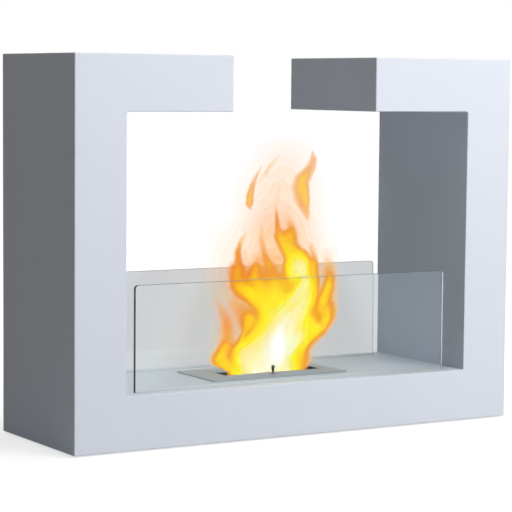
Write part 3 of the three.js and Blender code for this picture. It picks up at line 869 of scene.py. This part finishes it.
# Each tongue of the flame follows its spine. Rows: x, y, z and half width in millimetres, then heat.
TONGUES = {
    "core": [
        (31, 1, 74, 42.9, 8.8), (20, 1, 94, 39.4, 10.3), (56, 1, 118, 30.8, 8.5),
        (32, 1, 126, 38.0, 9.2), (47, 1, 141, 45.0, 8.6), (66, 2, 161, 28.0, 8.0),
        (69, 2, 179, 27.0, 7.9), (71, 2, 190, 19.0, 7.9), (69, 2, 201, 15.6, 7.9),
        (67, 2, 218, 14.4, 8.2), (62, 3, 223, 8.9, 7.1),
    ],
    "body_left": [
        (-16, 1, 65, 43.2, 8.1), (-24, 1, 96, 29.5, 8.6), (2, 1, 109, 35.5, 7.9),
        (24, 1, 112, 43.2, 9.9), (35, 1, 155, 30.2, 7.5),
    ],
    "body_fill": [
        (1, 1, 67, 60.0, 9.7), (6, 1, 98, 47.5, 8.6), (26, 1, 130, 47.5, 8.1), (22, 1, 155, 42.5, 6.6),
        (20, 1, 166, 47.0, 5.8), (8, 2, 178, 36.0, 4.6), (3, 2, 202, 34.0, 2.9),
    ],
    "shelf": [
        (-31, 2, 187, 19.1, 4.6), (-10, 2, 175, 20.0, 4.8), (28, 2, 172, 18.0, 4.5),
        (42, 2, 165, 20.0, 8.0),
    ],
    "bridge": [(8, 3, 191, 24.0, 4.0), (50, 3, 192, 22.0, 4.2)],
    "peak_a": [(-2, 3, 183, 22.0, 5.3), (-9, 4, 201, 16.1, 4.4), (-7, 5, 216, 10.8, 4.0)],
    "peak_b": [(23, 3, 183, 20.0, 4.8), (20, 4, 196, 14.8, 3.9), (20, 5, 211, 12.0, 3.2)],
    "left_tongue": [
        (19, 1, 153, 24.0, 7.2), (1, 1, 168, 25.0, 5.2), (-19, 2, 182, 13.9, 6.7),
        (-37, 3, 192, 16.0, 4.6), (-36, 4, 211, 19.0, 4.0), (-34, 5, 220, 10.3, 3.6),
        (-35, 6, 238, 5.9, 3.4), (-30, 6, 252, 5.0, 2.2), (-23, 6, 262, 4.8, 1.2),
    ],
    "haze_a": [
        (-15, 6, 197, 20.5, 4.3), (-35, 6, 219, 58.0, 0.5), (-23, 7, 219, 12.3, 1.7),
        (-24, 8, 238, 12.0, 1.2),
    ],
    "haze_b": [
        (13, 6, 189, 27.3, 3.8), (19, 6, 215, 37.1, 2.2), (0, 7, 223, 19.2, 2.4),
        (-1, 8, 231, 10.0, 1.8),
    ],
    "head": [
        (53, 2, 169, 20.2, 8.2), (71, 2, 198, 9.4, 7.8), (59, 3, 212, 28.5, 8.0),
        (59, 3, 219, 25.0, 7.7), (47, 4, 234, 18.0, 5.0), (38, 4, 246, 15.5, 4.7),
        (31, 5, 257, 14.2, 4.2), (28, 6, 266, 6.2, 3.6), (26, 6, 285, 3.6, 3.5), (24, 6, 298, 3.2, 1.8),
    ],
    "head_right": [
        (70, 3, 212, 12.3, 7.8), (59, 4, 231, 14.5, 4.3), (48, 5, 244, 16.1, 4.0),
        (47, 6, 255, 17.9, 4.3), (50, 6, 264, 12.1, 3.4), (45, 6, 283, 6.2, 1.5),
    ],
    "lobe": [(51, 0, 206, 15.8, 7.5), (48, -1, 202, 15.0, 7.2), (46, -1, 216, 9.0, 6.2)],
    "right_body": [
        (44, 1, 60, 33.0, 5.1), (49, 1, 81, 33.0, 5.0), (53, -2, 103, 27.0, 5.2),
        (58, -7, 125, 32.0, 7.3), (80, -16, 132, 18.5, 5.6), (90, -26, 144, 14.5, 4.9),
        (80, -33, 155, 25.0, 4.4), (93, -37, 169, 24.7, 1.1), (83, -38, 203, 32.6, 1.0),
        (83, -38, 210, 12.4, 2.6), (81, -38, 231, 12.0, 0.9), (94, -38, 241, 22.4, 0.3),
    ],
    "wedge": [
        (71, -13, 136, 13.9, 5.0), (78, -22, 159, 9.8, 5.4), (83, -28, 174, 16.0, 4.6),
        (85, -33, 190, 13.0, 4.7), (86, -35, 203, 10.5, 4.0),
    ],
    "inner_spike": [
        (78, 3, 141, 14.4, 5.9), (88, 4, 166, 12.4, 3.7), (86, 5, 189, 15.2, 4.5),
        (84, 6, 216, 15.0, 4.3), (88, 7, 224, 8.8, 2.9), (83, 8, 242, 7.3, 1.7),
    ],
    "left_curl": [
        (-37, 2, 69, 22.0, 5.4), (-54, 3, 84, 23.0, 4.7), (-64, 5, 93, 16.5, 4.8),
        (-53, 7, 109, 14.5, 4.4), (-49, 9, 117, 16.8, 2.6), (-50, 10, 141, 13.3, 2.5),
        (-55, 11, 155, 9.4, 2.0), (-65, 12, 175, 4.8, 0.6),
    ],
    "left_haze": [
        (-43, 4, 91, 26.0, 3.5), (-33, 6, 105, 15.9, 4.8), (-24, 8, 125, 4.7, 4.6),
        (-15, 9, 143, 21.5, 4.6), (-16, 10, 146, 25.8, 3.3), (-34, 11, 165, 18.5, 2.0),
        (-45, 12, 180, 12.4, 0.7),
    ],
    "wisp_mid": [
        (16, 7, 215, 8.8, 4.2), (6, 7, 237, 8.3, 2.7), (3, 7, 252, 8.6, 2.3), (3, 7, 273, 5.2, 1.3),
        (9, 7, 289, 8.5, 0.7),
    ],
    "wisp_spike": [
        (24, 6, 298, 2.9, 1.9), (26, 6, 313, 4.2, 0.9), (32, 6, 327, 4.7, 0.8), (36, 6, 337, 2.1, 1.0),
    ],
    "air": [
        (26, 4, 205, 104.0, 0.5), (30, 6, 240, 104.0, 0.5), (32, 8, 290, 88.0, 0.5),
        (38, 8, 340, 62.0, 0.4), (45, 8, 368, 32.0, 0.25),
    ],
    "veil": [
        (37, 6, 203, 75.8, 1.0), (32, 8, 230, 72.7, 1.7), (31, 8, 258, 66.8, 1.6),
        (31, 8, 285, 60.8, 1.15), (34, 8, 309, 54.5, 0.95), (38, 8, 328, 45.5, 0.75),
        (45, 8, 344, 30.3, 0.4),
    ],
    "glow": [
        (2, 1, 64, 90.9, 1.1), (1, 1, 99, 91.1, 1.5), (11, 1, 143, 94.1, 1.4), (30, 2, 180, 87.9, 1.2),
        (35, 3, 213, 78.9, 1.0),
    ],
}

# Three loose licks above the flame, the right one with a hotter core, in the same units.
LICKS = {
    "lick_right": [
        (79, 10, 277, 2.0, 1.3), (76, 10, 288, 6.8, 2.4), (71, 10, 300, 11.0, 2.8),
        (68, 10, 311, 14.2, 3.0), (67, 10, 322, 16.0, 3.0), (69, 10, 332, 14.4, 2.9),
        (77, 10, 341, 10.8, 2.8), (84, 10, 351, 8.6, 2.5), (87, 10, 361, 6.4, 2.3),
        (85, 10, 373, 1.5, 1.0),
    ],
    "lick_right_core": [
        (77, 10, 293, 3.4, 3.6), (74, 10, 307, 8.2, 5.2), (69, 10, 323, 11.4, 5.6),
        (71, 10, 334, 8.8, 5.2), (77, 10, 345, 4.2, 3.6),
    ],
    "lick_left": [
        (-25, -8, 296, 2.6, 1.6), (-26, -8, 303, 6.0, 4.0), (-25, -8, 313, 6.2, 4.2),
        (-22, -8, 326, 4.8, 3.0), (-16, -8, 339, 3.2, 2.0), (-7, -8, 353, 1.6, 0.9),
    ],
    "lick_faint": [
        (-7, 0, 329, 3.4, 0.4), (3, 0, 342, 4.2, 0.9), (12, 0, 354, 4.2, 0.9), (25, 0, 367, 2.8, 0.4),
    ],
}

# How a column of flame looks over white once it reaches a heat: heat, then the bytes that a picture shows.
FLAME_LOOK = (
    (0.0, 255, 254, 252), (0.2, 255, 250, 245), (0.45, 255, 243, 231), (0.75, 255, 234, 214),
    (1.1, 255, 223, 193), (1.5, 253, 212, 170), (2.0, 248, 196, 140), (2.4, 243, 178, 102),
    (2.8, 241, 162, 68), (3.2, 243, 163, 46), (3.6, 248, 179, 36), (4.0, 252, 200, 34),
    (4.5, 255, 217, 26), (5.1, 255, 230, 22), (5.7, 255, 238, 28), (6.3, 254, 241, 56),
    (6.9, 252, 241, 98), (7.5, 252, 242, 140), (8.1, 252, 244, 174), (8.7, 252, 249, 208),
    (9.3, 254, 253, 238), (10.0, 255, 255, 255),
)
LICK_LOOK = (
    (0.0, 255, 253, 250), (0.4, 254, 240, 228), (0.9, 251, 223, 201), (1.5, 247, 204, 170),
    (2.2, 245, 186, 138), (2.9, 245, 181, 110), (3.6, 249, 190, 90), (4.3, 253, 204, 78),
    (5.4, 254, 210, 68),
)

# How much a shell hides for each degree of heat that it spans: heat, then density.
FLAME_DENSITY = (
    (0.0, 0.26), (0.8, 0.3), (1.5, 0.38), (2.0, 0.5), (2.3, 0.85), (2.8, 1.0), (3.2, 0.85), (3.6, 0.6),
    (4.2, 0.35), (6.0, 0.2), (10.0, 0.2),
)

# Redder places of the flame: x, z and radius in millimetres.
EMBERS = ((-38.0, 205.0, 34.0), (25.0, 282.0, 20.0), (-55.0, 150.0, 24.0))

# The flame's pieces and the heats of their shells.
FLAME_BANDS = {
    "flame_air": (0.0, 0.5),
    "flame_veil": (0.5, 1.2),
    "flame_haze": (1.2, 2.6),
    "flame_tongues": (2.6, 5.0),
    "flame_heart": (5.0, 12.0),
}

# Millimetres in X, Y and Z that the grids of the flame and of its licks cover.
FLAME_SPACE = ((-102.0, 136.0), (-50.0, 50.0), (56.0, 392.0))
LICK_SPACE = ((-42.0, 102.0), (-24.0, 26.0), (274.0, 382.0))

# Heat far from every tongue, and how sharply the tongues join.
COLD = -9.0
JOIN = 3.0

# How far above the screen the flame's foot lies, in metres.
FOOT_HEIGHT = 0.006

# Heat of the coldest shell and how much hotter the hottest is, for the flame, and the heats of the licks.
COLDEST = 0.1
HEAT_SPAN = 9.62
LICK_HEATS = np.linspace(0.12, 5.0, 16)

LICK_STEP = 0.64

# How much more light a shell gives where it is seen through a pane, and the room that the gain leaves for it.
PANE_BOOST = 0.11
HEADROOM = 1.12


def flame_heat(axes, tongues):
    """Heat on a grid of places in millimetres.

    Along a spine, the place, half width w and heat p run straight from row to row. At a distance u from the
    spine in the upright plane and v across that plane, the heat is p(1 - u²/w² - v²/d²). The half depth d is
    0.45 w, at least the smaller of w and 6 mm, and at most 11.5 mm and a fifth of the height above 80 mm. A
    tongue counts where it is hottest, and the tongues join as a third of the log of the sum of e^(3 heat).
    """
    total = np.zeros([len(axis) for axis in axes])
    for rows in tongues.values():
        rows = np.array(rows, float)
        heat = np.full(total.shape, COLD)
        for start, end in zip(rows[:-1], rows[1:]):
            reach = max(start[3], end[3])
            low, high = np.minimum(start, end) - reach, np.maximum(start, end) + reach
            block = tuple(slice(*np.searchsorted(axis, (low[k], high[k]))) for k, axis in enumerate(axes))
            near = [axis[part] for axis, part in zip(axes, block)]
            x, y, z = np.meshgrid(*near, indexing="ij", sparse=True)
            run = end - start
            along = ((x - start[0]) * run[0] + (z - start[2]) * run[2]) / (run[0] ** 2 + run[2] ** 2)
            along = np.clip(along, 0.0, 1.0)
            mid_x, mid_y, mid_z, width, peak = (start[k] + along * run[k] for k in range(5))
            depth = np.maximum(0.45 * width, np.minimum(width, 6.0))
            depth = np.minimum(depth, 11.5 + 0.2 * np.maximum(mid_z - 80.0, 0.0))
            away = ((x - mid_x) ** 2 + (z - mid_z) ** 2) / width**2 + ((y - mid_y) / depth) ** 2
            heat[block] = np.maximum(heat[block], peak * (1.0 - away))
        total += np.exp(JOIN * heat)
    return np.log(total) / JOIN


def held_in_burner(heat, axes):
    """The heat, held down to nothing at the foot, at the mouth's edges and at the reservoir's walls.

    Each limit lets the heat grow in proportion to the distance from it. The mouth's limits open outwards
    above the plate, and the front one only above the regulator pin.
    """
    x, y, z = np.meshgrid(*axes, indexing="ij", sparse=True)
    mouth_low, mouth_high = (1000.0 * corner for corner in opening_box())
    walls = 1000.0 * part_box("wool_screen")[1]
    plate = 1000.0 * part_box("burner_top_plate")[1].z
    pin = 1000.0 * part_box("shutter_pin")[1]
    above = np.maximum(z - plate - 1.0, 0.0)
    above_pin = np.maximum(z - pin.z - 5.0, 0.0)
    limits = (
        6.0 * (z - walls.z - 1000.0 * FOOT_HEIGHT),
        0.8 * (walls.x - 0.5 - np.abs(x)),
        0.8 * (walls.y - 0.5 - np.abs(y)),
        1.2 * (x - mouth_low[0] - 16.0 + 2.4 * above),
        1.2 * (mouth_high[0] - 15.0 + 1.8 * above - x),
        1.5 * (mouth_high[1] - 2.5 + 1.2 * np.maximum(above - 3.0, 0.0) - y),
        1.5 * (y - pin.y - 1.3 + 0.9 * above_pin),
    )
    for limit in limits:
        heat = np.minimum(heat, limit)
    return heat


def window(*parts):
    """The index of a block of a grid, given as (axis, start, stop) for each axis that isn't whole."""
    made = [slice(None)] * 3
    for axis, start, stop in parts:
        made[axis] = slice(start, stop)
    return tuple(made)


def shell_at(heat, axes, level):
    """The closed surface where the heat crosses a level, as vertices in metres and quads.

    Each cell of the grid that the surface passes through gets one vertex, at the mean of the crossings along
    the cell's twelve edges. Each crossed edge of the grid joins the vertices of the four cells round it, and
    the quad faces the colder side.
    """
    hot = heat > level
    cell_counts = np.array(heat.shape) - 1
    place = np.zeros((*cell_counts, 3))
    crossed = np.zeros(cell_counts)
    quads = []
    cell_numbers = np.arange(cell_counts.prod()).reshape(cell_counts)
    for axis in range(3):
        u, v = (axis + 1) % 3, (axis + 2) % 3
        near, far = window((axis, 0, -1)), window((axis, 1, None))
        cut = hot[near] != hot[far]
        span = np.where(cut, heat[far] - heat[near], 1.0)
        part = np.where(cut, (level - heat[near]) / span, 0.0)
        for step_u, step_v in ((0, 0), (0, 1), (1, 0), (1, 1)):
            corner = window((u, step_u, step_u + cell_counts[u]), (v, step_v, step_v + cell_counts[v]))
            crossed += cut[corner]
            place[..., axis] += part[corner]
            place[..., u] += step_u * cut[corner]
            place[..., v] += step_v * cut[corner]
        at = np.argwhere(cut[window((u, 1, -1), (v, 1, -1))])
        at[:, [u, v]] += 1
        back_u, back_v = np.eye(3, dtype=int)[[u, v]]
        ring = np.stack([at, at - back_u, at - back_u - back_v, at - back_v], 1)
        ring = cell_numbers[tuple(np.moveaxis(ring, -1, 0))]
        falls = hot[near][tuple(at.T)]
        quads.append(np.where(falls[:, None], ring, ring[:, ::-1]))
    used = crossed > 0
    index = np.cumsum(used.ravel()) - 1
    cell = np.argwhere(used)
    step = np.array([axis[1] - axis[0] for axis in axes])
    origin = np.array([axis[0] for axis in axes])
    vertices = origin + step * (cell + place[used] / crossed[used][:, None])
    return vertices / 1000.0, index[np.concatenate(quads)]


def shell_lights(levels, look):
    """How much each shell hides, and the light that it gives so that the nest looks as its table says.

    A shell spans the heat to its neighbours and hides 1 - e^(-density span). A line of sight crosses each
    shell on its way in and on its way out. From the coldest shell inwards, a shell's light is what is missing
    between the look at its heat and the light of the colder shells with white behind them.
    """
    table = np.array(look)
    density = np.interp(levels, *np.transpose(FLAME_DENSITY))
    hidden = 1.0 - np.exp(-density * np.gradient(levels))
    front, through, behind = np.zeros(3), 1.0, np.ones(3)
    lights = []
    for level, hides in zip(levels, hidden):
        wanted = np.array(linear(*(np.interp(level, table[:, 0], table[:, k]) for k in (1, 2, 3))))
        missing = wanted - front - through * (1.0 - hides) ** 2 * behind
        light = np.maximum(missing / (through * hides * (2.0 - hides)), 0.0)
        front = front + through * hides * light
        through *= 1.0 - hides
        behind = hides * light + (1.0 - hides) * behind
        lights.append(light)
    return hidden, np.array(lights)


def flame_glow(tree, gain, flicker):
    """Light of the flame: the glow of each shell, with faint upright streaks in its light and cover."""
    glow = add_node(tree, "ShaderNodeAttribute", attribute_name="glow").outputs
    streak = noise(tree, stretched(tree, (1.0, 1.0, 0.35)), scale=70.0, detail=3.0, distortion=0.6)
    swing = ranged(tree, streak, 0.3, 0.7, 1.0 - flicker, 1.0 + flicker)
    return {
        "Base Color": BLACK,
        "Roughness": 1.0,
        "Specular IOR Level": 0.0,
        "Emission Color": shaded(tree, glow["Color"], swing),
        "Emission Strength": gain,
        "Alpha": maths(tree, "MULTIPLY", glow["Alpha"], swing, clamp=True),
    }


def pane_boost(heights, below_top=0.005, blend=0.012):
    """What the flame's light is multiplied by at these heights: 1 above the panes, and more below their
    top, where a pane dims it, with 3t² - 2t³ across the change."""
    below = np.clip((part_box("front_glass")[1].z - below_top - heights) / blend, 0.0, 1.0)
    return 1.0 + PANE_BOOST * (below * below * (3.0 - 2.0 * below))


def flame_piece(name, nest, band, material, gain, embers):
    """One mesh of the nest's shells whose heats lie in the band, which rides on the burner.

    A nest holds the grid's axes, the heat on it, and the level, hidden share and light of each shell. The
    glow of a vertex is its shell's light over the gain, raised to make up for what the panes take. Near an
    ember it loses part of its blue and half as much of its green, by e^(-r²/radius²) of the distance r in the
    upright plane.
    """
    axes, heat, *rows = nest
    shells = [
        (*shell_at(heat, axes, level), hides, light)
        for level, hides, light in zip(*rows)
        if band[0] <= level < band[1] and level < heat.max()
    ]
    vertices = np.concatenate([shell[0] for shell in shells])
    starts = np.cumsum([0] + [len(shell[0]) for shell in shells[:-1]])
    quads = np.concatenate([shell[1] + start for shell, start in zip(shells, starts)])
    glow = np.concatenate([np.tile([*(shell[3] / gain), shell[2]], (len(shell[0]), 1)) for shell in shells])
    glow[:, :3] *= pane_boost(vertices[:, 2])[:, None]
    near = np.zeros(len(vertices))
    for x, z, radius in EMBERS:
        away = ((vertices[:, 0] * 1000.0 - x) ** 2 + (vertices[:, 2] * 1000.0 - z) ** 2) / radius**2
        near = np.maximum(near, np.exp(-away))
    glow[:, 1] *= 1.0 - 0.5 * embers * near
    glow[:, 2] *= 1.0 - embers * near
    piece = new_piece(name, vertices, quads.tolist(), [material], smooth=np.ones(len(quads), bool))
    piece.data.color_attributes.new("glow", "FLOAT_COLOR", "POINT").data.foreach_set("color", glow.ravel())
    piece.visible_shadow = False
    piece.visible_diffuse = False
    piece.visible_glossy = False
    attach(piece, "burner")
    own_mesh(piece)


class FIREPLACE_OT_flame(bpy.types.Operator):
    """Make the flame as nested shells of equal heat, which ride on the burner"""

    bl_idname = "fireplace.flame"
    bl_label = "Flame"

    def execute(self, context):
        flame = context.scene.fireplace_flame
        step = 1000.0 * flame.step * 1.0
        axes = [np.arange(low, high, step) for low, high in FLAME_SPACE]
        lick_axes = [np.arange(low, high, LICK_STEP * step) for low, high in LICK_SPACE]
        # The steps between shells grow towards the flame's heart.
        part = np.linspace(0.0, 1.0, flame.shells)
        levels = COLDEST + HEAT_SPAN * (0.4 * part + 0.6 * part**1.8)
        hidden, lights = shell_lights(levels, FLAME_LOOK)
        lick_hidden, lick_lights = shell_lights(LICK_HEATS, LICK_LOOK)
        body = (axes, held_in_burner(flame_heat(axes, TONGUES), axes), levels, hidden, lights)
        licks = (lick_axes, flame_heat(lick_axes, LICKS), LICK_HEATS, lick_hidden, lick_lights)
        gain = HEADROOM * float(max(lights.max(), lick_lights.max()))
        material = new_material("flame", flame_glow, gain, flame.flicker)
        material.cycles.emission_sampling = "NONE"
        for name, band in FLAME_BANDS.items():
            flame_piece(name, body, band, material, gain, flame.embers)
        flame_piece("flame_licks", licks, (0.0, np.inf), material, gain, flame.embers)
        return {"FINISHED"}


# ---------- Base ----------


class FIREPLACE_OT_base(bpy.types.Operator):
    """Give the brackets, screws and feet their finish"""

    bl_idname = "fireplace.base"
    bl_label = "Base fixings and feet"

    def execute(self, context):
        zinc = new_material("zinc plate of the fixings", zinc_plate, context.scene.fireplace_burner.zinc)
        rubber = rubber_material()
        for end in ENDS:
            for side in SIDES:
                give_finish(f"base_bracket_{end}_{side}", zinc)
                give_finish(f"base_screw_{end}_{side}", zinc)
                give_finish(f"foot_{end}_{side}", rubber)
        return {"FINISHED"}


# ---------- Stage ----------

# Tints of what glass and metal show. A dark strip of floor runs forwards and to the right: its azimuth, how
# far right of the origin its middle passes and where it fades, in metres, and its level.
FRONT_TINT = (0.81, 1.0, 1.22)
BACK_TINT = (0.99, 0.995, 1.04)
STRIP_AZIMUTH = math.radians(31.7)
STRIP_MIDDLE = -0.072
STRIP_EDGE = (0.13, 0.21)
STRIP_LEVEL = 0.05

# The floor reaches this far from the origin. Its grey wanders between two shades, and its own light grows
# from one level to another between two distances from the origin.
FLOOR_REACH = 14.0
FLOOR_SHADES = (0.44, 0.46)
FLOOR_LIGHT = {"low": 0.35, "high": 0.9, "to_low": 0.68, "to_high": 1.0}

# Enough see-through surfaces in a row for a line of sight that crosses every shell of the flame twice.
CLEAR_LAYERS = 128

# Soft square lamps: name, place, the point that it faces and size in metres, power in watts and spread in
# degrees.
MIDDLE = (0.0, 0.0, 0.25)
LAMPS = (
    ("low front lamp", (0.4, -3.5, 1.5), MIDDLE, 2.2, 58.5, 180.0),
    ("low right lamp", (2.6, -2.4, 1.4), MIDDLE, 2.2, 38.0, 180.0),
    ("high front lamp", (1.2, -3.0, 2.8), MIDDLE, 2.0, 16.0, 180.0),
    ("top lamp", (-0.3, 0.3, 2.6), MIDDLE, 1.8, 15.0, 180.0),
    ("rear lamp", (0.95, 1.85, 0.6), MIDDLE, 0.9, 2.1, 60.0),
    ("left lamp", (-1.2, -0.4, 1.2), (0.0, 0.0, 0.1), 0.8, 0.6, 180.0),
    ("left hearth lamp", (-0.5, -0.6, 1.6), (0.0, 0.0, 0.2), 0.8, 1.7, 180.0),
    ("right hearth lamp", (0.6, -1.2, 1.4), (-0.1, 0.0, 0.1), 0.8, 9.2, 180.0),
    ("rear hearth lamp", (0.9, 0.9, 1.6), (-0.1, 0.0, 0.1), 0.8, 1.0, 180.0),
    ("gap lamp", (0.25, 0.0, 1.3), (-0.15, 0.0, 0.07), 0.3, 1.6, 180.0),
)


def look_from(settings):
    """The camera's place and turn: it looks at the origin from the azimuth and elevation, is rolled about
    its line of sight, and is then moved sideways and up in its own picture plane."""
    a, e, r = settings.azimuth, settings.elevation, settings.roll
    back = Vector((math.sin(a) * math.cos(e), -math.cos(a) * math.cos(e), math.sin(e)))
    right = (-back).cross(Vector((0.0, 0.0, 1.0))).normalized()
    up = right.cross(-back)
    right, up = right * math.cos(r) + up * math.sin(r), up * math.cos(r) - right * math.sin(r)
    place = back * settings.distance + right * settings.aim_side + up * settings.aim_up
    turn = Matrix((right, up, back)).transposed()
    return Matrix.Translation(place) @ turn.to_4x4()


def soft_lamp(name, place, target, size, power, spread):
    """A square lamp that faces the target and shines within a cone of spread degrees."""
    data = bpy.data.lights.new(name, "AREA")
    data.shape = "SQUARE"
    data.size = size
    data.energy = power
    data.spread = math.radians(spread)
    lamp = bpy.data.objects.new(name, data)
    aim = Vector(target) - Vector(place)
    lamp.rotation_mode = "QUATERNION"
    lamp.rotation_quaternion = aim.to_track_quat("-Z", "Y")
    lamp.location = place
    lamp.visible_camera = False
    lamp.visible_glossy = False
    lamp.visible_transmission = False
    bpy.context.scene.collection.objects.link(lamp)


def ray_kinds(tree):
    """Sockets that are 1 for camera rays, for rays off metal or through glass, and for mirrored rays."""
    path = add_node(tree, "ShaderNodeLightPath").outputs
    sharp = maths(tree, "MAXIMUM", path["Is Glossy Ray"], path["Is Transmission Ray"])
    return path["Is Camera Ray"], sharp, maths(tree, "MINIMUM", path["Glossy Depth"], 1.0)


def surroundings(tree, place, mirrored, settings):
    """What glass and metal show in a direction or at a place on the floor: the backdrop's level, and where
    mirrored is 1 a cool level in front of the fireplace that changes to the backdrop's level behind it."""
    before = maths(tree, "MULTIPLY", ranged(tree, split(tree, place)["Y"], 0.5, -0.5), mirrored)
    back = opaque(BACK_TINT, times=settings.backdrop)
    return blended(tree, before, back, opaque(FRONT_TINT, times=settings.forefront))


def studio_world(settings):
    """White to the camera, the surroundings to glass and metal, and black otherwise."""
    world = bpy.data.worlds.new("soft studio")
    tree = blank_tree(world)
    from_camera, sharp, mirrored = ray_kinds(tree)
    direction = add_node(tree, "ShaderNodeTexCoord").outputs["Generated"]
    seen = blended(tree, sharp, BLACK, surroundings(tree, direction, mirrored, settings))
    seen = blended(tree, from_camera, seen, WHITE)
    background = add_node(tree, "ShaderNodeBackground", {"Color": seen, "Strength": 1.0})
    add_node(tree, "ShaderNodeOutputWorld", {"Surface": background.outputs["Background"]})
    return world


def floor_material(settings):
    """Pale matt floor: white but for the object's shadow to the camera, and the backdrop's level to glass
    and metal, with a dark strip in front to mirrored rays."""
    material = bpy.data.materials.new("pale floor")
    tree = blank_tree(material)
    from_camera, sharp, mirrored = ray_kinds(tree)
    place = own_place(tree)
    parts = split(tree, place)
    along_x = maths(tree, "MULTIPLY", parts["X"], math.cos(STRIP_AZIMUTH))
    along_y = maths(tree, "MULTIPLY", parts["Y"], math.sin(STRIP_AZIMUTH))
    across = maths(tree, "SUBTRACT", maths(tree, "ADD", along_x, along_y), STRIP_MIDDLE)
    off_strip = ranged(tree, maths(tree, "ABSOLUTE", across), *STRIP_EDGE)
    in_front = maths(tree, "MULTIPLY", ranged(tree, parts["Y"], 0.0, -0.2), mirrored)
    dark = maths(tree, "MULTIPLY", in_front, maths(tree, "SUBTRACT", 1.0, off_strip))
    strip = opaque(WHITE[:3], times=STRIP_LEVEL)
    shown = blended(tree, dark, surroundings(tree, place, mirrored, settings), strip)
    shades = [opaque(WHITE[:3], times=shade) for shade in FLOOR_SHADES]
    shade = blended(tree, noise(tree, place, scale=40.0), *shades)
    matt = add_node(tree, "ShaderNodeBsdfDiffuse", {"Color": shade}).outputs[0]
    away = add_node(tree, "ShaderNodeVectorMath", {0: place}, operation="LENGTH").outputs["Value"]
    strength = ranged(tree, away, **FLOOR_LIGHT)
    lift = add_node(tree, "ShaderNodeEmission", {"Color": WHITE, "Strength": strength}).outputs[0]
    flat = add_node(tree, "ShaderNodeEmission", {"Color": shown}).outputs[0]
    lit = add_node(tree, "ShaderNodeAddShader", {0: matt, 1: lift}).outputs[0]
    seen = mixed_shader(tree, sharp, mixed_shader(tree, from_camera, matt, lit), flat)
    add_node(tree, "ShaderNodeOutputMaterial", {"Surface": seen})
    return material


class FIREPLACE_OT_stage(bpy.types.Operator):
    """Set up the floor, lamps, world and camera"""

    bl_idname = "fireplace.stage"
    bl_label = "Stage, lamps and camera"

    def execute(self, context):
        scene = context.scene
        settings = scene.fireplace_stage
        corners = box_corners((-FLOOR_REACH, -FLOOR_REACH), (FLOOR_REACH, FLOOR_REACH))
        floor = new_piece("floor", [(x, y, 0.0) for x, y in corners], [range(4)], [floor_material(settings)])
        for name, place, target, size, power, spread in LAMPS:
            soft_lamp(name, place, target, size, power * settings.lamps, spread)
        scene.world = studio_world(settings)
        scene.view_settings.view_transform = "Standard"
        scene.cycles.transparent_max_bounces = CLEAR_LAYERS
        data = bpy.data.cameras.new("camera")
        data.sensor_width = 36.0
        data.lens = settings.lens
        data.clip_start, data.clip_end = 0.1, 60.0
        camera = bpy.data.objects.new("camera", data)
        camera.matrix_world = look_from(settings)
        scene.collection.objects.link(camera)
        scene.camera = camera
        return {"FINISHED"}


# ---------- Panel, registration and run ----------

STEPS = (
    FIREPLACE_OT_stage,
    FIREPLACE_OT_frame,
    FIREPLACE_OT_glass,
    FIREPLACE_OT_burner,
    FIREPLACE_OT_pin,
    FIREPLACE_OT_wool,
    FIREPLACE_OT_flame,
    FIREPLACE_OT_base,
)

GROUPS = {
    "fireplace_coat": FIREPLACE_PG_coat,
    "fireplace_glass": FIREPLACE_PG_glass,
    "fireplace_burner": FIREPLACE_PG_burner,
    "fireplace_flame": FIREPLACE_PG_flame,
    "fireplace_stage": FIREPLACE_PG_stage,
}


class FIREPLACE_PT_steps(bpy.types.Panel):
    """Lists the fireplace's pieces and their sizes and colours"""

    bl_idname = "FIREPLACE_PT_steps"
    bl_label = "Bioethanol fireplace"
    bl_space_type = "VIEW_3D"
    bl_region_type = "UI"
    bl_category = "Fireplace"

    def draw(self, context):
        for name, group in GROUPS.items():
            box = self.layout.box()
            for prop in group.__annotations__:
                box.prop(getattr(context.scene, name), prop)
        for step in STEPS:
            self.layout.operator(step.bl_idname)


def register():
    for made in (*GROUPS.values(), *STEPS, FIREPLACE_PT_steps):
        bpy.utils.register_class(made)
    for name, group in GROUPS.items():
        setattr(bpy.types.Scene, name, PointerProperty(type=group))


def unregister():
    for name in GROUPS:
        delattr(bpy.types.Scene, name)
    for made in reversed((*GROUPS.values(), *STEPS, FIREPLACE_PT_steps)):
        bpy.utils.unregister_class(made)


def main():
    register()
    for step in STEPS:
        group, name = step.bl_idname.split(".")
        getattr(getattr(bpy.ops, group), name)()


if __name__ == "__main__":
    main()
